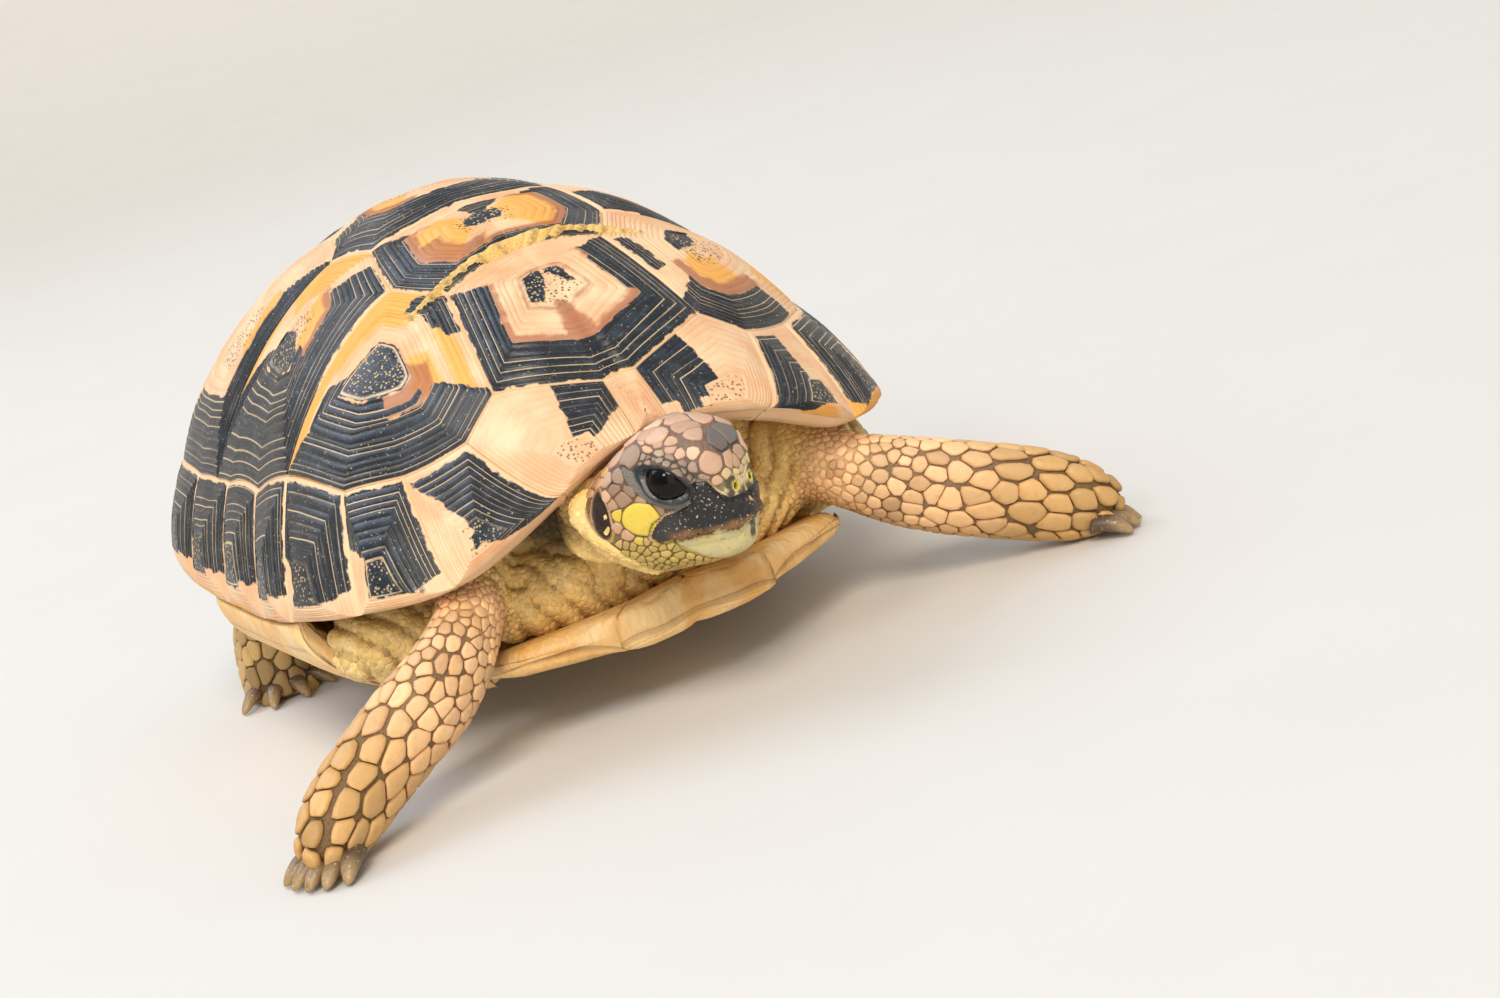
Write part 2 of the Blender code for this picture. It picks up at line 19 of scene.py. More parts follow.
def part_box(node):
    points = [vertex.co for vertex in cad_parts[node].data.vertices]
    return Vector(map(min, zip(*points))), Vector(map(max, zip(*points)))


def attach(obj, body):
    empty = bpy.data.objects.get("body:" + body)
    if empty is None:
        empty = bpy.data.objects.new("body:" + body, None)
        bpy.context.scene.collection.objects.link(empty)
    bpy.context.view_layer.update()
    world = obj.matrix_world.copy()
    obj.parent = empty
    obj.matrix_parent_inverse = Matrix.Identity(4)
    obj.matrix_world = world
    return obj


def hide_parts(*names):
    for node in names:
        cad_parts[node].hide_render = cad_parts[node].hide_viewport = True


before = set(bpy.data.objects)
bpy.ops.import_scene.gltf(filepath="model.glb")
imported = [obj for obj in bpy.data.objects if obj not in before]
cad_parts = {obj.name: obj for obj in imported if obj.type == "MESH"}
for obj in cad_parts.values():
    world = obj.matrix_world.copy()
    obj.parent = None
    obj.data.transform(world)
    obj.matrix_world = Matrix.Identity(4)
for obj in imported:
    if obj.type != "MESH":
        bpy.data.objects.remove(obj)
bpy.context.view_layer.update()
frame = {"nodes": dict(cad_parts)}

LOG = logging.getLogger("tortoise")
ROOT = "root"
MM = 0.001
SOLE = -13.0                 # height of the floor under the plastron
Array = np.ndarray
Tree = bpy.types.NodeTree
Object = bpy.types.Object


# ---- numbers and noise ------------------------------------------------------
def unit(vectors: Array) -> Array:
    """Rows scaled to length one."""
    return vectors / np.maximum(np.linalg.norm(vectors, axis=-1, keepdims=True), 1e-12)


def ease(low: float, high: float, value: Array) -> Array:
    """Smooth step from 0 at low to 1 at high; low may be the larger one."""
    t = np.clip((value - low) / (high - low), 0, 1)
    return t * t * (3 - 2 * t)


def hashed(cells: Array, seed: int) -> Array:
    """Even random numbers from 0 to 1, one for each row of whole numbers.

    Args:
        cells: whole numbers, three to a row.
        seed: picks another set of numbers.
    Returns:
        One number for each row.
    """
    primes = np.array([73856093, 19349663, 83492791], dtype=np.int64)
    word = (cells.astype(np.int64) * primes).sum(-1) + seed * 101390423
    word = ((word ^ (word >> 13)) * 1274126177) & 0xFFFFFFFF
    word = ((word ^ (word >> 16)) * 1103515245) & 0xFFFFFFFF
    return ((word ^ (word >> 15)) & 0xFFFFFF) / 0xFFFFFF


def noise(points: Array, size: float, seed: int, octaves: int = 2) -> Array:
    """Smooth noise from about -1 to 1.

    Args:
        points: places in millimetres, three to a row.
        size: width of the largest lumps, in millimetres.
        seed: picks another pattern.
        octaves: how many finer layers are added.
    Returns:
        One number for each place.
    """
    total = np.zeros(len(points))
    for octave in range(octaves):
        scaled = points * (2**octave / size)
        base = np.floor(scaled).astype(np.int64)
        part = scaled - base
        part = part * part * (3 - 2 * part)
        for corner in range(8):
            step = np.array([corner & 1, corner >> 1 & 1, corner >> 2 & 1])
            weight = np.prod(np.where(step, part, 1 - part), axis=-1)
            total += weight * (hashed(base + step, seed + octave) * 2 - 1) * 0.5**octave
    return total * 1.4


def track(rows: Array, places: Array) -> Array:
    """Smooth curve through rows of (parameter, value, ...), read at many places.

    Args:
        rows: control rows; the first column rises.
        places: parameters to read the curve at.
    Returns:
        One row of values for each place.
    """
    rows = np.asarray(rows, float)
    key, value = rows[:, 0], rows[:, 1:]
    k = np.clip(np.searchsorted(key, places, side="right") - 1, 0, len(rows) - 2)
    before, after = np.maximum(k - 1, 0), np.minimum(k + 2, len(rows) - 1)
    span = (key[k + 1] - key[k])[:, None]
    u = ((places - key[k]) / span[:, 0])[:, None]
    slope_a = (value[k + 1] - value[before]) / (key[k + 1] - key[before])[:, None] * span
    slope_b = (value[after] - value[k]) / (key[after] - key[k])[:, None] * span
    return ((2 * u**3 - 3 * u**2 + 1) * value[k] + (u**3 - 2 * u**2 + u) * slope_a
            + (3 * u**2 - 2 * u**3) * value[k + 1] + (u**3 - u**2) * slope_b)


# ---- meshes -----------------------------------------------------------------
def strip_faces(rows: int, columns: int, closed: bool = True) -> Array:
    """Four-sided faces of a grid of points, one row after another.

    Args:
        rows: rows of points.
        columns: points in a row.
        closed: whether the last column joins the first.
    Returns:
        Four point numbers for each face.
    """
    across = np.arange(columns if closed else columns - 1)
    down = np.arange(rows - 1)[:, None]
    right = (across + 1) % columns
    faces = np.stack([down * columns + across, down * columns + right,
                      (down + 1) * columns + right, (down + 1) * columns + across], -1)
    return faces.reshape(-1, 4)


def cap_faces(start: int, columns: int, centre: int, flip: bool = False) -> list[tuple[int, ...]]:
    """Triangles from a ring of points to one centre point."""
    ring = [(start + k, start + (k + 1) % columns, centre) for k in range(columns)]
    return [(b, a, c) for a, b, c in ring] if flip else ring


def tube_faces(rings: int, columns: int) -> list:
    """Faces of rings of points, closed at either end on one of the two points that follow them.

    Args:
        rings: rings of points.
        columns: points in a ring.
    Returns:
        Point numbers of each face.
    """
    count = rings * columns
    ends = cap_faces(0, columns, count, True) + cap_faces(count - columns, columns, count + 1)
    return strip_faces(rings, columns).tolist() + ends


def four_sided(faces: list) -> Array:
    """Faces as rows of four point numbers; a triangle says its last one twice."""
    return np.array([[*face, face[-1]][:4] for face in faces])


def said_once(faces: Array) -> list:
    """Faces from rows of four point numbers, with three where one is said twice."""
    return [list(dict.fromkeys(face)) for face in faces.tolist()]


class Model:
    """The fixed solid model, and how millimetres are placed in it."""

    def __init__(self, shift: Array) -> None:
        """Remember where the shell's own frame lies, in metres."""
        self.shift = shift

    def to_metres(self, points: Array) -> Array:
        """Places in the shell's frame, in metres in the model's frame."""
        return np.asarray(points) * MM + self.shift

    def piece(self, name: str, points: Array, faces: list, finish: bpy.types.Material,
              layers: dict[str, Array] | None = None) -> Object:
        """Make one mesh piece of the animal.

        Args:
            name: the piece's name.
            points: places in millimetres in the shell's frame.
            faces: point numbers of each face.
            finish: its material.
            layers: values for each point, by attribute name; three or four columns are a colour.
        Returns:
            The new object.
        """
        mesh = bpy.data.meshes.new(name)
        faces = faces.tolist() if isinstance(faces, np.ndarray) else faces
        mesh.from_pydata(self.to_metres(points).tolist(), [], faces)
        for word, values in (layers or {}).items():
            values = np.asarray(values, np.float32)
            if values.ndim == 1:
                layer = mesh.attributes.new(word, "FLOAT", "POINT")
                layer.data.foreach_set("value", values)
            else:
                layer = mesh.attributes.new(word, "FLOAT_COLOR", "POINT")
                full = np.ones((len(values), 4), np.float32)
                full[:, :values.shape[1]] = values
                layer.data.foreach_set("color", full.ravel())
        mesh.materials.append(finish)
        mesh.shade_smooth()
        body = bpy.data.objects.new(name, mesh)
        bpy.context.scene.collection.objects.link(body)
        return body


def settle(piece: Object, slot: str, *nodes: str) -> Object:
    """Let a piece ride with the animal, in place of the named solids.

    Args:
        piece: the piece.
        slot: not used.
        *nodes: names of the solids it replaces.
    Returns:
        The piece.
    """
    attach(piece, ROOT)
    if nodes:
        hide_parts(*nodes)
    LOG.info("%-22s %7d faces", piece.name, len(piece.data.polygons))
    return piece


# ---- finishes ---------------------------------------------------------------
def linear(code: str) -> tuple[float, float, float, float]:
    """An sRGB hex colour as linear RGBA."""
    parts = [int(code[k:k + 2], 16) / 255 for k in (1, 3, 5)]
    return (*[c / 12.92 if c <= 0.04045 else ((c + 0.055) / 1.055) ** 2.4 for c in parts], 1.0)


def add(tree: Tree, kind: str, links: dict | tuple = (), out: int | str = 0, **settings) -> object:
    """Add a node with its settings and links.

    Args:
        tree: the node tree it joins.
        kind: the node's type, without the leading ShaderNode for a shader tree.
        links: a socket to link or a value to set for each input, by name, by number or in order.
        out: the output to hand back, or "node" for the node itself.
        **settings: the node's own properties.
    Returns:
        The chosen output socket, or the node.
    """
    item = tree.nodes.new(kind if kind.startswith(("ShaderNode", "GeometryNode", "FunctionNode"))
                          else "ShaderNode" + kind)
    for word, value in settings.items():
        setattr(item, word, value)
    for key, value in (links if isinstance(links, dict) else dict(enumerate(links))).items():
        if isinstance(value, bpy.types.NodeSocket):
            tree.links.new(value, item.inputs[key])
        else:
            item.inputs[key].default_value = value
    return item if out == "node" else item.outputs[out]


def begin(name: str) -> tuple[bpy.types.Material, Tree, dict]:
    """Start a finish.

    Args:
        name: its name.
    Returns:
        The material, its empty tree, and the inputs that all of its noise shares.
    """
    material = bpy.data.materials.new(name)
    material.use_nodes = True
    tree = material.node_tree
    tree.nodes.clear()
    return material, tree, {"Vector": add(tree, "TexCoord", out="Object"), "Detail": 3.0, "Roughness": 0.55}


def layered(tree: Tree, colour: object, *coats: tuple) -> object:
    """Lay colours over one another, each by a smooth share of a value.

    Args:
        tree: the finish's tree.
        colour: the lowest colour.
        *coats: for each further colour a value, the marks where its share starts and is
            full, its greatest share, and the colour as a hex code or a socket.
    Returns:
        The colour of them all.
    """
    for value, low, high, most, above in coats:
        share = add(tree, "MapRange", (value, low, high, 0.0, most), interpolation_type="SMOOTHSTEP")
        above = linear(above) if isinstance(above, str) else above
        colour = add(tree, "Mix", {0: share, 6: colour, 7: above}, out=2, data_type="RGBA")
    return colour


def finished(material: bpy.types.Material, colour: object, rough: object, bumps: tuple,
             **levels: float) -> bpy.types.Material:
    """End a finish in a principled shader over its bumps.

    Args:
        material: the material.
        colour: base colour, a socket or a value.
        rough: roughness, a socket or a value.
        bumps: heights, each with its depth in millimetres.
        **levels: other inputs of the shader with one value all over; _ stands for a space.
    Returns:
        The material.
    """
    tree, normal = material.node_tree, {}
    for height, depth in bumps:
        links = {"Height": height, "Distance": depth * MM, "Strength": 1.0, **normal}
        normal = {"Normal": add(tree, "Bump", links)}
    levels = {word.replace("_", " "): value for word, value in levels.items()}
    shader = add(tree, "BsdfPrincipled", {"Base Color": colour, "Roughness": rough, **normal, **levels})
    add(tree, "OutputMaterial", {"Surface": shader}, out="node")
    return material


@dataclass(frozen=True)
class ScuteHorn:
    """Keratin scutes grown in yearly rings: worn satin where tan, glossy where black."""

    tan: str = "#E9B486"
    cream: str = "#F0CDA2"
    yellow: str = "#EDA93A"
    rust: str = "#9E5228"
    black: str = "#14181D"
    sheen_slate: str = "#3A4653"
    line: str = "#D8BC92"
    pit: str = "#2A241E"

    def make(self) -> bpy.types.Material:
        """Build the material from the growth, pigment and seam layers of a scute.

        Returns:
            The material.
        """
        material, t, noise_of = begin("keratin_scute_horn")
        growth, seam, plate, pitted, warm, rust, black = [
            add(t, "Attribute", out="Fac", attribute_name=word)
            for word in ("growth", "seam", "plate", "pitted", "warm", "rust", "black")]
        broad = add(t, "TexNoise", {**noise_of, "Scale": 1 / (9.0 * MM)})
        patchy = add(t, "TexNoise", {**noise_of, "Scale": 1 / (6.0 * MM)})
        ragged = add(t, "TexNoise", {**noise_of, "Scale": 1 / (2.6 * MM), "Detail": 5.0})
        sheen_and_wear = add(t, "TexNoise", {**noise_of, "Scale": 1 / (3.0 * MM), "Detail": 5.0, "Roughness": 0.65})
        fine = add(t, "TexNoise", {**noise_of, "Scale": 1 / (0.9 * MM), "Detail": 4.0})
        specks = add(t, "TexNoise", {**noise_of, "Scale": 1 / (0.55 * MM), "Detail": 2.0})
        # Growth lines: thin and pale where a new ring came out from under the last one.
        between = add(t, "Math", (growth, 0.5), operation="PINGPONG")
        beat = add(t, "Math", (fine, 0.05, 0.5), operation="MULTIPLY_ADD")
        beat = add(t, "Math", (beat, between), operation="SUBTRACT")
        line = add(t, "MapRange", (beat, 0.42, 0.49), interpolation_type="SMOOTHSTEP")
        # Some rings end in a bold line and others in none.
        ring = add(t, "Math", (growth,), operation="ROUND")
        ring = add(t, "Math", (plate, 17.0, ring), operation="MULTIPLY_ADD")
        bold = add(t, "TexWhiteNoise", {"W": ring}, noise_dimensions="1D")
        bold = add(t, "Math", (patchy, 0.5, bold), operation="MULTIPLY_ADD")
        bold = add(t, "MapRange", (bold, 0.55, 0.95), interpolation_type="SMOOTHSTEP")
        bold = add(t, "Math", (line, bold), operation="MULTIPLY")
        # Hairlines between the growth lines, as from a season's weeks.
        hair = add(t, "Math", (broad, 1.5), operation="MULTIPLY")
        hair = add(t, "Math", (growth, 6.0, hair), operation="MULTIPLY_ADD")
        hair = add(t, "Math", (hair, 0.5), operation="PINGPONG")
        # Pigment has ragged edges, as it was laid down cell by cell.
        ragged = add(t, "Math", (ragged, 2.4, -1.2), operation="MULTIPLY_ADD")
        warm, rust, black = [add(t, "Math", (depth, ragged), operation="ADD")
                             for depth in (warm, rust, black)]
        tan = layered(t, linear(self.tan), (broad, 0.35, 0.7, 1.0, self.cream),
                      (hair, 0.38, 0.5, 0.13, self.rust), (beat, 0.42, 0.49, 0.45, self.cream),
                      (seam, 1.6, 0.2, 0.7, self.cream), (warm, -0.7, 1.1, 0.85, self.yellow),
                      (rust, -0.6, 0.8, 0.75, self.rust))
        # The slate patches on the black are partly grey wear and partly painted sheen, a painted reflection
        # of the sky.
        sheen_and_wear = add(t, "Math", (hair, 0.25, sheen_and_wear), operation="MULTIPLY_ADD")
        dark = layered(t, linear(self.black), (sheen_and_wear, 0.5, 0.85, 0.75, self.sheen_slate))
        dark = add(t, "Mix", {0: bold, 6: dark, 7: linear(self.line)}, out=2, data_type="RGBA")
        dark = layered(t, dark, (specks, 0.66, 0.72, 0.7, self.line))
        black = add(t, "MapRange", (black, -0.18, 0.18), interpolation_type="SMOOTHSTEP")
        open_seam = add(t, "MapRange", (seam, 0.12, 0.4), interpolation_type="SMOOTHSTEP")
        black = add(t, "Math", (black, open_seam), operation="MULTIPLY")
        colour = add(t, "Mix", {0: black, 6: tan, 7: dark}, out=2, data_type="RGBA")
        # The hatchling's own scute in the middle is pitted all over.
        cells = add(t, "TexVoronoi", {"Vector": noise_of["Vector"], "Scale": 1 / (0.75 * MM)})
        dots = add(t, "MapRange", (cells, 0.42, 0.2), interpolation_type="SMOOTHSTEP")
        dots = add(t, "Math", (dots, pitted), operation="MULTIPLY")
        pits = {0: black, 6: linear(self.pit), 7: linear(self.line)}
        pits = add(t, "Mix", pits, out=2, data_type="RGBA")
        filled = add(t, "Math", (dots, 0.85), operation="MULTIPLY")
        colour = add(t, "Mix", {0: filled, 6: colour, 7: pits}, out=2, data_type="RGBA")
        rough = add(t, "Math", (black, -0.17, 0.44), operation="MULTIPLY_ADD")
        rough = add(t, "Math", (fine, 0.12, rough), operation="MULTIPLY_ADD")
        return finished(material, colour, rough, ((hair, 0.035), (fine, 0.05), (dots, -0.12)), IOR=1.54)


@dataclass(frozen=True)
class PlastronHorn:
    """Thin waxy keratin of the belly: yellow, with worn brown growth lines and dark clouds."""

    yellow: str = "#F4BA64"
    pale: str = "#FCD898"
    olive: str = "#A67C34"
    brown: str = "#7A4A1E"
    black: str = "#1D1A17"

    def make(self) -> bpy.types.Material:
        """Build the material from the same layers as a scute's.

        Returns:
            The material.
        """
        material, t, noise_of = begin("plastron_keratin")
        growth, seam, black = [add(t, "Attribute", out="Fac", attribute_name=word)
                               for word in ("growth", "seam", "black")]
        broad = {"Scale": 1 / (14.0 * MM), "Detail": 4.0, "Roughness": 0.6, "Distortion": 0.6}
        broad = add(t, "TexNoise", {**noise_of, **broad})
        cloud = add(t, "TexNoise", {**noise_of, "Scale": 1 / (8.0 * MM), "Detail": 5.0, "Roughness": 0.65})
        lumps = add(t, "TexNoise", {**noise_of, "Scale": 1 / (4.0 * MM)})
        ragged = add(t, "TexNoise", {**noise_of, "Scale": 1 / (3.0 * MM), "Detail": 4.0})
        fine = add(t, "TexNoise", {**noise_of, "Scale": 1 / (1.1 * MM), "Detail": 4.0})
        between = add(t, "Math", (growth, 0.5), operation="PINGPONG")
        beat = add(t, "Math", (fine, 0.09, 0.5), operation="MULTIPLY_ADD")
        beat = add(t, "Math", (beat, between), operation="SUBTRACT")
        line = add(t, "MapRange", (beat, 0.42, 0.52), interpolation_type="SMOOTHSTEP")
        ragged = add(t, "Math", (ragged, 4.0, -2.0), operation="MULTIPLY_ADD")
        black = add(t, "Math", (black, ragged), operation="ADD")
        colour = layered(t, linear(self.yellow), (broad, 0.35, 0.65, 1.0, self.pale),
                         (cloud, 0.5, 0.78, 0.4, self.olive), (beat, 0.42, 0.52, 0.3, self.brown),
                         (seam, 0.7, 0.1, 0.5, self.brown), (black, -0.5, 0.7, 0.92, self.black))
        rough = add(t, "Math", (fine, 0.2, 0.34), operation="MULTIPLY_ADD")
        # Upright pleats, drawn out to four times their width.
        tall = add(t, "Mapping", {"Vector": noise_of["Vector"], "Scale": (1, 1, 0.22)})
        pleats = add(t, "TexNoise", {"Vector": tall, "Scale": 1 / (2.4 * MM), "Detail": 3.0})
        bumps = ((line, -0.05), (fine, 0.07), (lumps, 0.15), (pleats, 0.9))
        return finished(material, colour, rough, bumps, IOR=1.54)


# ---- the shell --------------------------------------------------------------
@dataclass
class ShellForm:
    """Carapace and plastron as two smooth surfaces, the same ones as the solids follow."""

    crown_y: float = 5.0
    crown_z: float = 84.5
    full_front: float = 1.07
    full_side: float = 1.60
    full_rear: float = 1.26
    # Where marginal scutes meet on the free edge, front to rear: x, y, z.
    edge: tuple = ((0.0, -76.5, 40.0), (3.5, -77.3, 40.0), (21.0, -80.0, 35.5), (42.5, -70.0, 25.0),
                   (56.5, -54.5, 23.0), (62.8, -29.0, 20.5), (63.2, -9.0, 18.5), (64.0, 13.0, 19.0),
                   (65.0, 33.0, 21.0), (63.0, 51.0, 24.0), (54.0, 66.0, 26.0), (38.0, 76.5, 25.0),
                   (19.0, 81.0, 20.0), (0.0, 82.0, 17.0))
    gap: float = 0.3
    plastron_flat: float = 40.0
    wing: float = 26.0
    lobe_back: float = -40.0
    lobe_front: float = -68.0
    lobe_rise: float = 3.0
    lobe_middle: float = 10.0
    bearings: Array = field(init=False)
    rim_table: Array = field(init=False)
    rims: list = field(init=False)

    def __post_init__(self) -> None:
        """Tabulate the free edge by its bearing from the front."""
        half = [(math.atan2(x, self.crown_y - y), x, y, z) for x, y, z in self.edge]
        front = [(-a, -x, y, z) for a, x, y, z in half[2:0:-1]]
        rear = [(2 * math.pi - a, -x, y, z) for a, x, y, z in half[-2:-4:-1]]
        self.bearings = np.linspace(0, math.pi, 2001)
        self.rim_table = track(front + half + rear, self.bearings)
        self.rims = [(math.degrees(row[0]), 1.0) for row in half]

    def rim(self, bearing: Array) -> Array:
        """Points of the free edge at bearings from the front."""
        x, y, z = [np.interp(np.abs(bearing), self.bearings, column) for column in self.rim_table.T]
        return np.stack([x * np.sign(bearing), y, z], -1)

    def dome(self, u: Array, v: Array) -> Array:
        """Carapace surface over a unit disk: (0, -1) is the front, (0, 0) the crown.

        Args:
            u: disk places, to the animal's left.
            v: disk places, to its rear.
        Returns:
            Points in millimetres.
        """
        way = np.minimum(np.hypot(u, v), 1)
        bearing = np.arctan2(u, -v)
        x, y, z = self.rim(bearing).T
        out = np.sin(way * math.pi / 2)
        up = np.maximum(np.cos(way * math.pi / 2), 0)
        ahead = np.cos(bearing)
        front = self.full_side - (self.full_side - self.full_front) * np.maximum(ahead, 0) ** 1.3
        full = np.where(ahead > 0, front, self.full_side - (self.full_side - self.full_rear) * ahead**2)
        return np.stack([x * out, self.crown_y + (y - self.crown_y) * out,
                         z + (self.crown_z - z) * up ** (2 / full)], -1)

    def belly(self, a: Array, y: Array) -> Array:
        """Underside of the plastron and bridge; a is the girth from the midline.

        Args:
            a: girth from the midline.
            y: places along the animal.
        Returns:
            Points in millimetres.
        """
        flank = slice(500, 1450)
        wide = np.interp(y, self.rim_table[flank, 1], self.rim_table[flank, 0])
        high = np.interp(y, self.rim_table[flank, 1], self.rim_table[flank, 2]) - self.gap
        forward = np.clip((self.lobe_back - y) / (self.lobe_back - self.lobe_front), 0, 1)
        reach = np.abs(a)
        aside = np.maximum(reach - self.lobe_middle, 0) / (self.plastron_flat - self.lobe_middle)
        turn = np.clip((reach - self.plastron_flat) / self.wing, 0, 1) * math.pi / 2
        x = np.minimum(reach, self.plastron_flat) + (wide - self.plastron_flat) * np.sin(turn)
        z = np.where(turn > 0, high * (1 - np.cos(turn)), self.lobe_rise * aside * forward)
        return np.stack([x * np.sign(a), y, z], -1)


@dataclass(frozen=True)
class Surface:
    """One of the shell's surfaces, with its step for slopes and the side that is outside."""

    at: object
    step: float
    inside: tuple[float, float, float]
    limit: float

    def normal(self, p: Array, q: Array) -> Array:
        """Outward unit normals.

        Args:
            p: first coordinates on the surface's map.
            q: second coordinates on it.
        Returns:
            One unit vector for each place.
        """
        reach = np.maximum(np.hypot(p, q), 1e-9)
        back = np.where(reach + self.step > self.limit, 1 - 1.5 * self.step / reach, 1.0)
        p, q = p * back, q * back
        along = self.at(p + self.step, q) - self.at(p - self.step, q)
        across = self.at(p, q + self.step) - self.at(p, q - self.step)
        normal = unit(np.cross(along, across))
        outward = self.at(p, q) - np.array(self.inside)
        return normal * np.sign((normal * outward).sum(-1, keepdims=True))


class Pigment(Enum):
    """What a marking is coloured with, by the name of its mesh layer."""

    BLACK = "black"
    WARM = "warm"
    RUST = "rust"


@dataclass(frozen=True)
class Fan:
    """A marking that keeps to a sector while its scute grows.

    toward is the sector's middle in degrees: 0 is the front, 90 the animal's left on the
    midline plates and outwards on the others, -90 towards the crown.  start and stop are
    shares of the way from the scute's oldest spot to its seam, and lean turns the sector
    by so many degrees from the spot to the seam.
    """

    pigment: Pigment
    toward: float
    spread: float
    start: float = 0.0
    stop: float = 1.2
    lean: float = 0.0

    def depth(self, share: Array, compass: Array, reach: Array, length: Array) -> Array:
        """How deep inside the marking each place lies, in millimetres.

        Args:
            share: share of the way from spot to seam.
            compass: bearing from the spot, in degrees.
            reach: distance from the spot, in millimetres.
            length: the whole way there, in millimetres.
        Returns:
            Depth in millimetres; negative outside.
        """
        turn = (compass - self.toward - self.lean * share + 180) % 360 - 180
        aside = np.radians(self.spread - np.abs(turn)) * reach
        if self.spread >= 180:
            aside = np.full_like(reach, 9.0)
        return np.minimum(aside, np.minimum(share - self.start, self.stop - share) * length)


B, W, R = Pigment.BLACK, Pigment.WARM, Pigment.RUST


@dataclass(frozen=True)
class Scute:
    """One plate's outline, oldest spot, growth and markings."""

    name: str
    corners: tuple
    spot: tuple[float, float]
    marks: tuple[Fan, ...]
    seed: int
    rings: int = 12
    spot_share: float = 0.27
    spacing: float = 1.1
    sharp: float = 0.5
    relief: float = 0.26
    lift: float = 1.3
    pitted: float = 1.0


